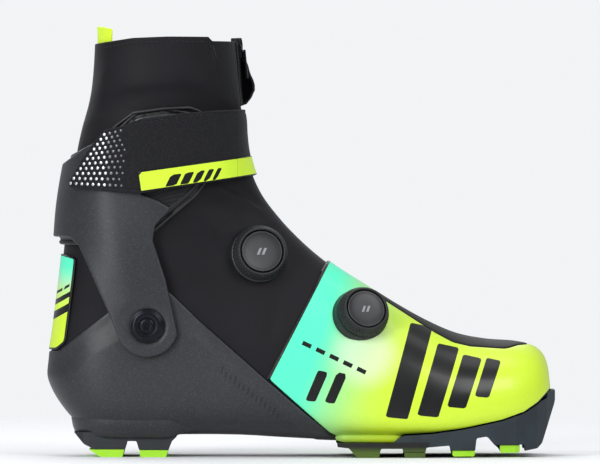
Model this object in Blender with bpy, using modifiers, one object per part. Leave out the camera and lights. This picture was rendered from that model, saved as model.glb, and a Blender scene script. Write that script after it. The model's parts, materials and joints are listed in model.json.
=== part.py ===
"""A right-foot skating boot for cross country skiing, size EU 42, as an assembly of its pieces.

Frame: millimetres scaled to metres, +X to the toe, -Y to the outer (lateral) side, +Z up, soles on Z = 0,
with the origin under the middle of the boot. Every shell is a layer of one foot-and-leg form: the piece
lies between two offsets of that form and is trimmed by an outline seen from the side.
"""

import math

import bmesh
import bpy
from mathutils import Matrix, Vector
from mathutils.bvhtree import BVHTree

MM = 0.001
GAP = 0.3
AROUND = 16
SIDE_REACH = 90.0
FAR = 300.0

# The form, toe to collar: front or top point (x, z), bottom or back point (x, z), half width,
# sideways shift of the middle, share of the depth above the widest line, and how square the
# lower and the upper half are (2 is an ellipse).
STATIONS = (
    ((146.5, 38.0), (145.5, 31.0), 17.0, 9.0, 0.60, 2.4, 2.2),
    ((144.5, 54.0), (143.2, 25.5), 28.0, 9.0, 0.62, 2.6, 2.2),
    ((139.0, 62.5), (137.0, 21.5), 36.5, 8.0, 0.66, 3.0, 2.2),
    ((127.0, 66.0), (125.0, 18.5), 43.0, 7.0, 0.70, 3.4, 2.2),
    ((109.0, 67.5), (107.5, 16.0), 46.5, 5.0, 0.73, 3.8, 2.2),
    ((91.5, 71.0), (88.5, 13.5), 48.0, 3.0, 0.74, 4.0, 2.2),
    ((74.0, 78.5), (68.0, 12.5), 47.5, 1.0, 0.74, 4.0, 2.2),
    ((56.0, 88.5), (44.0, 12.0), 45.5, -0.5, 0.73, 3.8, 2.2),
    ((38.5, 99.5), (17.5, 12.3), 42.5, -1.5, 0.71, 3.6, 2.2),
    ((20.5, 111.0), (-9.0, 13.5), 40.0, -2.0, 0.69, 3.4, 2.2),
    ((6.0, 122.0), (-35.5, 15.0), 38.5, -2.0, 0.68, 3.6, 2.2),
    ((-6.0, 133.5), (-65.0, 15.3), 37.5, -1.0, 0.66, 4.2, 2.3),
    ((-15.0, 144.0), (-94.5, 14.5), 36.5, -0.5, 0.62, 4.6, 2.3),
    ((-22.0, 153.5), (-121.0, 17.0), 36.0, 0.0, 0.58, 4.2, 2.3),
    ((-27.0, 163.0), (-137.0, 30.0), 36.0, 0.0, 0.55, 3.3, 2.3),
    ((-30.0, 171.5), (-147.0, 50.5), 36.0, 0.0, 0.52, 2.5, 2.3),
    ((-32.0, 180.5), (-144.5, 77.5), 36.5, 0.0, 0.50, 2.4, 2.3),
    ((-33.0, 189.5), (-141.5, 101.0), 37.0, 0.0, 0.50, 2.3, 2.3),
    ((-33.5, 198.0), (-139.0, 124.5), 37.5, 0.0, 0.50, 2.3, 2.3),
    ((-35.0, 207.0), (-137.0, 148.0), 38.0, 0.0, 0.50, 2.3, 2.3),
    ((-36.0, 216.0), (-133.0, 172.0), 38.5, 0.0, 0.50, 2.3, 2.3),
    ((-36.5, 225.0), (-128.0, 193.5), 39.0, 0.0, 0.50, 2.3, 2.3),
    ((-37.0, 233.5), (-123.0, 216.0), 39.5, 0.0, 0.50, 2.3, 2.3),
    ((-38.0, 244.5), (-121.0, 242.5), 40.0, 0.0, 0.50, 2.3, 2.3),
    ((-38.5, 260.0), (-121.5, 260.0), 40.0, 0.0, 0.50, 2.3, 2.3),
)
FINE_RINGS = tuple(range(len(STATIONS)))
LINER_RINGS = (2, 3, 5, 7, 9, 11, 12, 13, 14, 15, 16, 18, 20, 22, 24)
LINER_AROUND = 12

# Offsets of each layer from the form, inner then outer.
GAITER = (-1.2, 0.0)
PLATE = (-2.7, -1.5)
LINER = (-7.6, -4.6)
INSOLE_UNDER = -7.9
DEEPEST_TOE = -8.5
TONGUE = (-10.2, -7.9)
ANKLE_PANEL = (-6.5, 0.0)
SHELL = (0.3, 2.8)
COVER = (0.3, 1.5)
LINING = (0.3, 4.5)
CUFF = (4.8, 7.0)
LOOP = (7.3, 7.9)
HOOK = (8.2, 8.8)
STRAP_SIDE = (9.1, 10.7)
STRAP_FRONT = (0.6, 2.2)
COLOUR_BAND = 0.4
SOLE_CLEAR = 1.8

# The ankle pivot, and how the soft upper divides about it: angles run from the heel over the top.
PIVOT = (-89.6, 77.3)
PIVOT_HUB = 25.4
FOOT_SPLIT = (40.0, 140.0)
LEG_SPLIT = (49.0, 113.0)
BOLT_HEAD_RADIUS = 10.25
BUSH_RADIUS = 5.0
NUT_RADIUS = 8.0

# Sole and lugs.
SOLE_SHARE = 0.94
TOE_BUMPER = 2.8
SOLE_MIDDLE = 5.0
RAIL_GROOVE = (8.0, 14.0)
TOE_SLOT_HALF = 15.0
TOE_BAR_AT = (133.5, 9.5)
TOE_BAR_RADIUS = 2.0

# Lacing dials: centre of the base on the outer side (x, z), and the piece of upper under it.
DIALS = {"upper": ((-24.5, 118.7), 0.3), "lower": ((35.2, 82.6), 1.8)}
DIAL_RADIUS = 16.5
DIAL_CAP_RADIUS = 12.3
DIAL_TOP = 12.0
# How much of the surface's upward lean a dial keeps.
DIAL_LEAN = 0.62

# Lacing cables over the inner boot, as (place along the form, angle in degrees) pairs.
LACES = {
    "upper_lace": (
        (10.6, 62), (11.0, 20), (10.6, -40), (10.0, -58), (9.6, -40), (9.2, 40), (9.0, 60), (9.4, 66),
    ),
    "lower_lace": (
        (7.2, 60), (7.6, 30), (7.6, -30), (7.0, -58), (6.4, -36), (6.2, 36), (6.3, 58), (6.7, 64),
    ),
}

# The strap folds at this line when it is peeled open.
STRAP_FOLD_X = -44.0

OBJECT_NAME = "skate_boot"
parts = None
cutters = None
forms = {}


def clear_scene():
    for thing in list(bpy.data.objects):
        bpy.data.objects.remove(thing, do_unlink=True)


def collection(name):
    made = bpy.data.collections.new(name)
    bpy.context.scene.collection.children.link(made)
    return made


def material(name, colour, roughness, metallic=0.0):
    made = bpy.data.materials.new(name)
    made.use_nodes = True
    shader = made.node_tree.nodes["Principled BSDF"]
    shader.inputs["Base Color"].default_value = (*colour, 1.0)
    shader.inputs["Roughness"].default_value = roughness
    shader.inputs["Metallic"].default_value = metallic
    made.diffuse_color = (*colour, 1.0)
    return made


def add_part(name, mesh, look):
    made = bpy.data.objects.new(name, mesh)
    parts.objects.link(made)
    mesh.materials.clear()
    mesh.materials.append(look)
    return made


def add_cutter(name, mesh):
    made = bpy.data.objects.new(name, mesh)
    cutters.objects.link(made)
    made.hide_render = True
    made.display_type = "WIRE"
    return made


def boolean(target, operation, cutter):
    cut = target.modifiers.new(f"{operation.lower()} {cutter.name}", "BOOLEAN")
    cut.operation = operation
    cut.object = cutter
    cut.solver = "EXACT"


# The form and its layers.


def between_stations(place):
    """The station at a fractional place along the form, as one flat list, by a Catmull-Rom curve."""
    last = len(STATIONS) - 1
    whole = min(int(place), last - 1)
    share = place - whole
    near = [STATIONS[min(max(whole + step, 0), last)] for step in (-1, 0, 1, 2)]
    rows = [(*row[0], *row[1], *row[2:]) for row in near]
    made = []
    for a, b, c, d in zip(*rows):
        slope = c - a
        bend = 2 * a - 5 * b + 4 * c - d
        rest = -a + 3 * b - 3 * c + d
        made.append(0.5 * (2 * b + slope * share + bend * share**2 + rest * share**3))
    return made


def form_point(place, angle):
    """A point of the form. Angle 0 is the front or top, 90 degrees the outer side."""
    front_x, front_z, back_x, back_z, half, shift, wide, low, high = between_stations(place)
    up = math.cos(angle)
    side = math.sin(angle)
    power = 2.0 / (high if up > 0 else low)
    depth = wide * (1 - up**power) if up > 0 else wide + (1 - wide) * (-up) ** power
    across = math.copysign(abs(side) ** power, side)
    x = front_x + (back_x - front_x) * depth
    z = front_z + (back_z - front_z) * depth
    return Vector((x, shift - half * across, z))


def form_normal(place, angle):
    """The outward direction of the form at a point."""
    step = 0.04
    last = len(STATIONS) - 1
    ahead = form_point(min(place + step, last), angle) - form_point(max(place - step, 0), angle)
    around = form_point(place, angle + step) - form_point(place, angle - step)
    return ahead.cross(around).normalized()


def offset_at(offset, angle):
    return offset(angle) if callable(offset) else offset


def form_mesh(name, offset, rings, around):
    """The closed form, grown outwards by an offset, with its ends moved out as far as its sides."""
    bm = bmesh.new()
    rows = []
    for ring in rings:
        row = []
        for step in range(around):
            angle = 2 * math.pi * step / around
            grow = offset_at(offset, angle)
            normal = form_normal(ring, angle)
            if ring == rings[0]:
                normal.x = 1.0
            if ring == rings[-1]:
                normal.z = 1.0
            point = form_point(ring, angle) + normal * grow
            row.append(bm.verts.new(point * MM))
        rows.append(row)
    for here, there in zip(rows, rows[1:]):
        for step in range(around):
            following = (step + 1) % around
            bm.faces.new((here[step], here[following], there[following]))
            bm.faces.new((here[step], there[following], there[step]))
    bm.faces.new(rows[0])
    bm.faces.new(rows[-1])
    bmesh.ops.recalc_face_normals(bm, faces=bm.faces)
    mesh = bpy.data.meshes.new(name)
    bm.to_mesh(mesh)
    bm.free()
    return mesh


def form_cutter(offset, liner=False):
    key = (offset, liner)
    if key not in forms:
        rings = LINER_RINGS if liner else FINE_RINGS
        if not callable(offset) and offset < DEEPEST_TOE:
            rings = rings[2:]
        label = getattr(offset, "__name__", offset)
        name = f"form_{label}_{'liner' if liner else 'outer'}"
        forms[key] = add_cutter(name, form_mesh(name, offset, rings, LINER_AROUND if liner else AROUND))
    return forms[key]


def layer(name, offsets, look, keep=(), cut=(), liner=False):
    """The piece between two offsets of the form, inside every outline in keep and outside those in cut."""
    inner, outer = offsets
    made = add_part(name, form_cutter(outer, liner).data.copy(), look)
    for cutter in keep:
        boolean(made, "INTERSECT", cutter)
    boolean(made, "DIFFERENCE", form_cutter(inner, liner))
    for cutter in cut:
        boolean(made, "DIFFERENCE", cutter)
    return made


def hit_side(x, z, offset, outward):
    """The point and the direction of the form's side at (x, z), on the outer side (-1) or the inner (1)."""
    source = form_cutter(offset).data
    tree = BVHTree.FromPolygons([v.co for v in source.vertices], [list(p.vertices) for p in source.polygons])
    start = Vector((x, outward * SIDE_REACH, z)) * MM
    return tree.ray_cast(start, Vector((0, -outward, 0)))[0] / MM


def side_frame(x, z, outward, spread=9.0, lean=1.0):
    """A frame on the form's side: origin on its surface, Z outwards as a round foot of this size rests.

    The lean is how much of the surface's upward slope the frame keeps.
    """
    right = hit_side(x + spread, z, 0.0, outward) - hit_side(x - spread, z, 0.0, outward)
    up = hit_side(x, z + spread, 0.0, outward) - hit_side(x, z - spread, 0.0, outward)
    normal = right.cross(up).normalized()
    if normal.y * outward < 0:
        normal = -normal
    normal.z *= lean
    normal.normalize()
    across = Vector((0, 0, 1)).cross(normal).normalized()
    turn = Matrix((across, normal.cross(across), normal)).transposed().to_4x4()
    return Matrix.Translation(hit_side(x, z, 0.0, outward) * MM) @ turn


# Outlines and turned shapes.


def arc(centre, radius, start, end, steps=6):
    """Points of an arc in the side view. Angles run from the heel over the top, in degrees."""
    made = []
    for step in range(steps + 1):
        angle = math.radians(start + (end - start) * step / steps)
        made.append((centre[0] - radius * math.cos(angle), centre[1] + radius * math.sin(angle)))
    return made


def rounded(outline, steps=2):
    """The outline with an arc of the given radius at each corner that has a third number."""
    made = []
    for index, corner in enumerate(outline):
        here = Vector(corner[:2])
        if len(corner) == 2:
            made.append(here)
            continue
        before = (Vector(outline[index - 1][:2]) - here).normalized()
        after = (Vector(outline[(index + 1) % len(outline)][:2]) - here).normalized()
        half = before.angle(after) / 2
        reach = corner[2] / math.tan(half)
        centre = here + (before + after).normalized() * corner[2] / math.sin(half)
        first = here + before * reach - centre
        turn = first.angle_signed(here + after * reach - centre)
        for step in range(steps + 1):
            angle = -turn * step / steps
            made.append(centre + Matrix.Rotation(angle, 2) @ first)
    return made


def mesh_of_curve(made):
    """A curve's evaluated mesh with its caps welded, and the place where the curve stood."""
    bpy.context.view_layer.update()
    shape = made.evaluated_get(bpy.context.evaluated_depsgraph_get())
    mesh = bpy.data.meshes.new_from_object(shape)
    place = made.matrix_world.copy()
    bpy.data.objects.remove(made, do_unlink=True)
    bm = bmesh.new()
    bm.from_mesh(mesh)
    bmesh.ops.remove_doubles(bm, verts=bm.verts, dist=0.00001)
    bmesh.ops.recalc_face_normals(bm, faces=bm.faces)
    bm.to_mesh(mesh)
    bm.free()
    mesh.transform(place)
    return mesh


def flat_mesh(name, outline, low, high, plan=False):
    """An outline made solid: a side view between two Y values, or a plan view between two heights."""
    curve = bpy.data.curves.new(name, "CURVE")
    curve.dimensions = "2D"
    curve.fill_mode = "BOTH"
    curve.extrude = (high - low) / 2 * MM
    points = rounded(outline)
    spline = curve.splines.new("POLY")
    spline.points.add(len(points) - 1)
    for target, point in zip(spline.points, points):
        target.co = (point[0] * MM, point[1] * MM, 0.0, 1.0)
    spline.use_cyclic_u = True
    holder = bpy.data.objects.new(name, curve)
    cutters.objects.link(holder)
    middle = (low + high) / 2 * MM
    if plan:
        holder.location.z = middle
    else:
        holder.rotation_euler.x = math.pi / 2
        holder.location.y = middle
    return mesh_of_curve(holder)


def prism(name, outline, low=-SIDE_REACH, high=SIDE_REACH, plan=False):
    return add_cutter(name, flat_mesh(name, outline, low, high, plan))


def box(name, low, high):
    mesh = bpy.data.meshes.new(name)
    bm = bmesh.new()
    bmesh.ops.create_cube(bm, size=1.0)
    for vert in bm.verts:
        vert.co = Vector([(a + b) / 2 + c * (b - a) for a, b, c in zip(low, high, vert.co)]) * MM
    bm.to_mesh(mesh)
    bm.free()
    return add_cutter(name, mesh)


def turned_mesh(name, profile, place, steps=20):
    """A profile of (radius, height) turned about the local Z axis. It runs down the outer side."""
    mesh = bpy.data.meshes.new(name)
    corners = [(radius * MM, 0.0, height * MM) for radius, height in profile]
    edges = [(index, index + 1) for index in range(len(corners) - 1)]
    if profile[0][0] > 0:
        edges.append((len(corners) - 1, 0))
    mesh.from_pydata(corners, edges, [])
    holder = bpy.data.objects.new(name, mesh)
    cutters.objects.link(holder)
    screw = holder.modifiers.new("turn", "SCREW")
    screw.steps = steps
    screw.render_steps = steps
    screw.use_merge_vertices = True
    screw.merge_threshold = 0.00001
    screw.use_smooth_shade = True
    holder.matrix_world = place
    return mesh_of_curve(holder)


def turned(name, profile, place, look, steps=20):
    return add_part(name, turned_mesh(name, profile, place, steps), look)


def hole(name, radius, low, high, place, steps=16):
    profile = ((0, high), (radius, high), (radius, low), (0, low))
    return add_cutter(name, turned_mesh(name, profile, place, steps))


def across_frame(x, z, outward):
    """A frame whose Z axis points sideways out of the boot, with its origin on the middle plane."""
    turn = Matrix.Rotation(math.radians(90 if outward < 0 else -90), 4, "X")
    return Matrix.Translation(Vector((x, 0, z)) * MM) @ turn


def sector(name, first, last, radius):
    """The space between two angles about the ankle pivot, outside a radius."""
    near = arc(PIVOT, radius, first, last)
    far = arc(PIVOT, FAR, last, first)
    return prism(name, near + far)


def pivot_holder(name, place, children):
    """An empty on a joint's axis, with the pieces that move about it."""
    holder = bpy.data.objects.new(name, None)
    parts.objects.link(holder)
    holder.location = Vector(place) * MM
    bpy.context.view_layer.update()
    for child in children:
        child.parent = holder
        child.matrix_parent_inverse = holder.matrix_world.inverted()
    return holder


def pivot_surface(outward):
    """How far the form's side stands from the middle plane at the ankle pivot."""
    return abs(hit_side(*PIVOT, 0.0, outward).y)


# Pieces of the boot.


def build_uppers(look):
    """The softshell gaiter and the padded inner boot, each in a foot part and a leg part."""
    foot_cut = sector("leg_space", *FOOT_SPLIT, PIVOT_HUB)
    leg_keep = sector("leg_zone", *LEG_SPLIT, PIVOT_HUB + 0.5)
    collar = prism("collar_outline", [
        (-160, 100), (-160, 236), (-120.8, 242.7), (-98.5, 246.5, 30), (-77.8, 247.1), (-52, 246.9),
        (-38, 247.3), (0, 247.3), (0, 100),
    ])
    low_collar = prism("liner_collar_outline", [(-160, 100), (-160, 238), (0, 241), (0, 100)])
    nuts = [
        hole("nut_pocket_outer", NUT_RADIUS + GAP, 30, 50, across_frame(*PIVOT, -1)),
        hole("nut_pocket_inner", NUT_RADIUS + GAP, 30, 50, across_frame(*PIVOT, 1)),
    ]
    instep_gap = prism("liner_instep_gap", [(2, 100), (62, 60), (78, 90), (0, 150)], -9, 9)
    layer("gaiter_foot", GAITER, look["gaiter"], cut=[foot_cut, *nuts])
    layer("inner_boot_foot", LINER, look["liner"], cut=[foot_cut, instep_gap], liner=True)
    leg = [
        layer("gaiter_shaft", GAITER, look["gaiter"], keep=[leg_keep, collar]),
        layer("inner_boot_shaft", LINER, look["liner"], keep=[leg_keep, low_collar], liner=True),
    ]
    front = sector("front_ankle_zone", LEG_SPLIT[1] + 0.5, FOOT_SPLIT[1] - 0.5, PIVOT_HUB + 0.5)
    back = sector("back_ankle_zone", FOOT_SPLIT[0] + 0.5, LEG_SPLIT[0] - 0.5, PIVOT_HUB + 0.5)
    layer("ankle_panel_front", ANKLE_PANEL, look["gaiter"], keep=[front])
    layer("ankle_panel_back", ANKLE_PANEL, look["gaiter"], keep=[back])
    tongue = prism("tongue_outline", [(-14, 118), (66, 66), (90, 90), (0, 150), (-2, 132)], -24, 24)
    layer("tongue", TONGUE, look["liner"], keep=[tongue], liner=True)
    return leg


def build_base(look):
    """The stiff pieces under and around the foot, above the soles."""
    shell = prism("heel_shell_outline", [
        (-170, 61), (-143, 62.5, 6), (-138, 66.5, 8), *arc(PIVOT, 23.5, 23.8, 129.7),
        (-59, 80.2), (-18.9, 44.8), (17.7, 13.0, 20), (27, 8), (27, -10), (-170, -10),
    ])
    bolt_holes = [
        hole("bolt_hole_outer", BUSH_RADIUS + GAP, 30, 60, across_frame(*PIVOT, -1)),
        hole("bolt_hole_inner", BUSH_RADIUS + GAP, 30, 60, across_frame(*PIVOT, 1)),
    ]
    layer("heel_shell", SHELL, look["shell"], keep=[shell], cut=bolt_holes)
    cover = prism("cover_outline", [
        (17.2, 130), (17.2, 116), (-18.5, 46.6), (18.2, 13.7, 12), (27.5, 9.2), (54, 8.9),
        (58, 12.4), (61, 13.3), (77, 14.3), (96, 16.9), (118.7, 21.8), (132, 26.5), (140.2, 32.1),
        (148.6, 40.6), (170, 40.6), (170, 130),
    ])
    instep = [
        (43.9, 97.6), (46.9, 93), (78.5, 72), (89.3, 66.2, 12), (99.9, 64), (120.9, 62.8, 12),
        (128.5, 65.4), (134.5, 66.2),
    ]
    above = [(145, 90), (60, 125)]
    strip = prism("instep_outline", [*instep, *above])
    wider = [(point[0] - GAP, point[1] - GAP, *point[2:]) for point in instep]
    strip_space = prism("instep_space", [*wider, *above])
    layer("forefoot_cover", COVER, look["cover"], keep=[cover], cut=[strip_space])
    layer("instep_strip", COVER, look["trim"], keep=[strip])
    patch = prism("heel_patch_outline", [
        (-170, 120), (-140.4, 119.2), (-131.9, 117), (-133, 106.8), (-138, 67.4, 5), (-143.4, 63.2),
        (-170, 62),
    ])
    layer("heel_patch", COVER, look["patch"], keep=[patch])
    puff = prism("toe_puff_outline", [(104, 27), (104, 80), (170, 80), (170, 27)])
    layer("toe_puff", PLATE, look["plate"], keep=[puff])
    plate = prism("midsole_outline", [
        (-170, 22), (-100, 22), (0, 20), (60, 20), (144, 25.5), (144, -10), (-170, -10),
    ])
    layer("midsole_plate", PLATE, look["plate"], keep=[plate])
    below_foot = prism("insole_outline", [
        (-170, 26), (-60, 25.5), (40, 22.5, 60), (90, 24, 60), (135, 31), (135, -10), (-170, -10),
    ])
    insole = add_part("insole", form_cutter(INSOLE_UNDER, liner=True).data.copy(), look["insole"])
    boolean(insole, "INTERSECT", below_foot)


def footprint(extra, first, last):
    """The plan of the sole, as a share of the form's width, from one station to another."""
    outer = []
    inner = []
    for place in range(first, last + 1):
        half = STATIONS[place][2] * SOLE_SHARE + extra
        shift = STATIONS[place][3]
        x = STATIONS[place][1][0] + extra
        if place == first:
            x += TOE_BUMPER
        outer.append((x, shift - half))
        inner.append((x, shift + half))
    return outer + inner[::-1]


def build_soles(look):
    """The rubber soles, the lug tips moulded in a second colour, and the steel bar for the binding."""
    toe = footprint(2.0, 0, 8)
    sole = add_part("forefoot_sole", flat_mesh("forefoot_sole", [
        (22, 8.5), (54, 8.3), (58.5, 12, 2), (61, 12.9), (77.3, 13.9), (96, 16.5), (118.7, 21.4),
        (132.2, 26, 20), (140.5, 31.6), (146, 38.6), (151.5, 39), (149.8, 31), (142.4, 8.2, 2),
        (139.5, 5.2), (129, 3.2), (118.7, 2.8), (115.3, 6), (109.7, 12.4, 1.5), (103.6, 11.4, 1), (102.3, 0.8),
        (89.4, 0.8), (88.0, 7.2, 1), (74, 6, 1), (73.3, 0), (61.2, 0), (60.4, 5.3, 1),
        (47.4, 5.3, 1), (46.4, 0), (33.6, 0), (28.6, 5.6, 1), (22, 6.3),
    ], -SIDE_REACH, SIDE_REACH), look["sole"])
    boolean(sole, "INTERSECT", prism("sole_plan", toe, -5, 60, plan=True))
    boolean(sole, "DIFFERENCE", form_cutter(SOLE_CLEAR))
    groove = [(15, -2), (130, -2), (130, 9.2), (106, 9.2), (100, 4.6), (15, 4.6)]
    for side, label in ((-1, "outer"), (1, "inner")):
        low, high = sorted(SOLE_MIDDLE + side * edge for edge in RAIL_GROOVE)
        boolean(sole, "DIFFERENCE", prism(f"rail_groove_{label}", groove, low, high))
    slot_sides = (SOLE_MIDDLE - TOE_SLOT_HALF, SOLE_MIDDLE + TOE_SLOT_HALF)
    toe_slot = box("toe_slot", (122.2, slot_sides[0], -1), (160, slot_sides[1], 13.5))
    boolean(sole, "DIFFERENCE", toe_slot)
    bar_middle = Vector((TOE_BAR_AT[0], SOLE_MIDDLE, TOE_BAR_AT[1])) * MM
    bar_place = Matrix.Translation(bar_middle) @ Matrix.Rotation(math.pi / 2, 4, "X")
    boolean(sole, "DIFFERENCE", hole("toe_bar_bore", TOE_BAR_RADIUS + GAP, -20.3, 20.3, bar_place, 12))
    ends = ((0, 20), (1.6, 20), (2, 19.6), (2, -19.6), (1.6, -20), (0, -20))
    turned("toe_bar", ends, bar_place, look["steel"], 12)

    tips = {
        "lug_tip_ball": (61.2, 73.4, 0.0, 3.3),
        "lug_tip_fore": (89.4, 102.5, 0.8, 4.2),
        "lug_tip_toe": (117.4, 129.0, 2.8, 7.2),
    }
    for name, (start, end, bottom, top) in tips.items():
        for side, label in ((-1, "outer"), (1, "inner")):
            low, high = sorted(SOLE_MIDDLE + side * edge for edge in (RAIL_GROOVE[1] + GAP, SIDE_REACH))
            full = f"{name}_{label}"
            shape = [
                (start + 0.8, bottom), (end - 0.8, bottom), (end, bottom + 0.8), (end, top),
                (start, top), (start, bottom + 0.8),
            ]
            tip = add_part(full, flat_mesh(full, shape, low, high), look["lug"])
            boolean(tip, "INTERSECT", prism(f"{full}_plan", footprint(1.2, 0, 8), -5, 60, plan=True))
            space_low, space_high = sorted(SOLE_MIDDLE + side * edge for edge in (RAIL_GROOVE[0] + 2, 95))
            space = box(f"{full}_space", (start - 3, space_low, -1), (end + 3, space_high, top + GAP))
            boolean(sole, "DIFFERENCE", space)

    heel_plan = [(-134, -16), (-128, -26, 8), (-66, -32, 6), (-66, 32, 6), (-128, 26, 8), (-134, 16)]
    plan = prism("heel_plan", heel_plan, -5, 60, plan=True)
    heel = add_part("heel_sole", flat_mesh("heel_sole", [
        (-133, 14.5), (-130.5, 11.5), (-127, 7.5, 3), (-121, 4.7), (-103, 4.7), (-101.8, 9.4, 1),
        (-96.1, 9.4, 1), (-94.6, 4.4), (-77.2, 4.4), (-75.2, 9.4, 2), (-72.5, 12), (-72.5, 14.5),
    ], -SIDE_REACH, SIDE_REACH), look["sole"])
    boolean(heel, "INTERSECT", plan)
    boolean(heel, "DIFFERENCE", form_cutter(SHELL[1] + GAP))
    for name, shape in (
        ("heel_lug_tip_rear", [(-124, 4.4), (-117.2, 0, 1), (-104.4, 0, 0.8), (-103.2, 4.4)]),
        ("heel_lug_tip_front", [(-94.4, 4.1), (-93.9, 0, 0.8), (-78.7, 0, 0.8), (-77.4, 4.1)]),
    ):
        tip = add_part(name, flat_mesh(name, shape, -SIDE_REACH, SIDE_REACH), look["lug"])
        boolean(tip, "INTERSECT", plan)


def build_pivots(look):
    """Each ankle pivot: a flanged bush, a socket-head bolt and the nut behind the heel shell."""
    for outward, side in ((-1, "outer"), (1, "inner")):
        place = across_frame(*PIVOT, outward)
        surface = pivot_surface(outward)
        cuff_face = surface + CUFF[1]
        flange = (surface + SHELL[1] + 0.6, surface + CUFF[0] - 0.6)
        bush = (
            (BUSH_RADIUS, cuff_face - 0.2), (BUSH_RADIUS, flange[1]), (8.5, flange[1]), (8.5, flange[0]),
            (BUSH_RADIUS, flange[0]), (BUSH_RADIUS, surface + 0.6), (3.4, surface + 0.6),
            (3.4, cuff_face - 0.2),
        )
        turned(f"pivot_bush_{side}", bush, place, look["bush"], 12)
        under = cuff_face + GAP
        bolt = (
            (0, under + 2.6), (4.4, under + 2.6), (4.4, under + 3.0), (7.6, under + 3.0),
            (9.6, under + 2.0), (BOLT_HEAD_RADIUS, under + 0.8), (BOLT_HEAD_RADIUS, under),
            (3.0, under), (3.0, surface - 2.0), (0, surface - 2.0),
        )
        made = turned(f"pivot_bolt_{side}", bolt, place, look["bolt"], 16)
        socket = hole(f"bolt_socket_{side}", 2.2, under + 0.4, under + 5, place, 6)
        boolean(made, "DIFFERENCE", socket)
        nut = (
            (NUT_RADIUS, surface - 0.3), (NUT_RADIUS, surface - 2.3), (3.4, surface - 2.3),
            (3.4, surface - 0.3),
        )
        turned(f"pivot_nut_{side}", nut, place, look["steel"], 12)


def build_cuff(look):
    """The stiff cuff, its padded lining and what is fixed to them."""
    outline = prism("cuff_outline", [
        (-84.8, 136.5, 3), (-75.2, 146.1, 1), (-83.5, 150.9), (-93.1, 154.4), (-95, 170), (-100, 186, 4),
        (-124, 184, 20), (-140.3, 172.5), (-170, 172), (-170, 129.6), (-142.4, 129.4), (-136, 129.1, 4),
        (-130.2, 124.3), (-111.7, 83.4), *arc(PIVOT, 18.4, -26, -165, 6), (-78.4, 103.8),
        (-86.2, 127.5, 6),
    ])
    holes = []
    for outward, side in ((-1, "outer"), (1, "inner")):
        place = across_frame(*PIVOT, outward)
        face = pivot_surface(outward) + CUFF[1] - 0.1
        holes.append(hole(f"cuff_bore_{side}", BUSH_RADIUS + GAP, 30, 60, place))
        holes.append(hole(f"bolt_seat_{side}", BOLT_HEAD_RADIUS + 0.6, face, 60, place, 24))
    lining = prism("lining_outline", [
        (-170, 126), (-131, 124.5), (-110, 124, 20), (-84.5, 132.2), (-60.5, 152.1, 10), (-54.7, 161),
        (-56.3, 201.8, 6), (-79.6, 205.9), (-96.9, 203.4, 10), (-112, 190), (-140, 176.2), (-170, 176),
    ])
    loop_outline = [(-134, 163), (-96, 158), (-97, 184), (-112, 186), (-126, 178)]
    loop = prism("loop_outline", loop_outline, -SIDE_REACH, 0)
    return [
        layer("cuff_shell", CUFF, look["shell"], keep=[outline], cut=holes),
        layer("cuff_lining", LINING, look["lining"], keep=[lining]),
        layer("cuff_loop_patch", LOOP, look["trim"], keep=[loop]),
    ]


def strap_reach(angle, low, high):
    """An offset that is low at the front of the leg and high at its sides, where the cuff is."""
    turn = abs((math.degrees(angle) + 180) % 360 - 180)
    share = min(max((turn - 4) / 52, 0), 1)
    return low + (high - low) * share * share * (3 - 2 * share)


def strap_inside(angle):
    return strap_reach(angle, STRAP_FRONT[0], STRAP_SIDE[0])


def strap_outside(angle):
    return strap_reach(angle, STRAP_FRONT[1], STRAP_SIDE[1])


def band_inside(angle):
    return strap_outside(angle) + GAP


def band_outside(angle):
    return strap_outside(angle) + GAP + COLOUR_BAND


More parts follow.
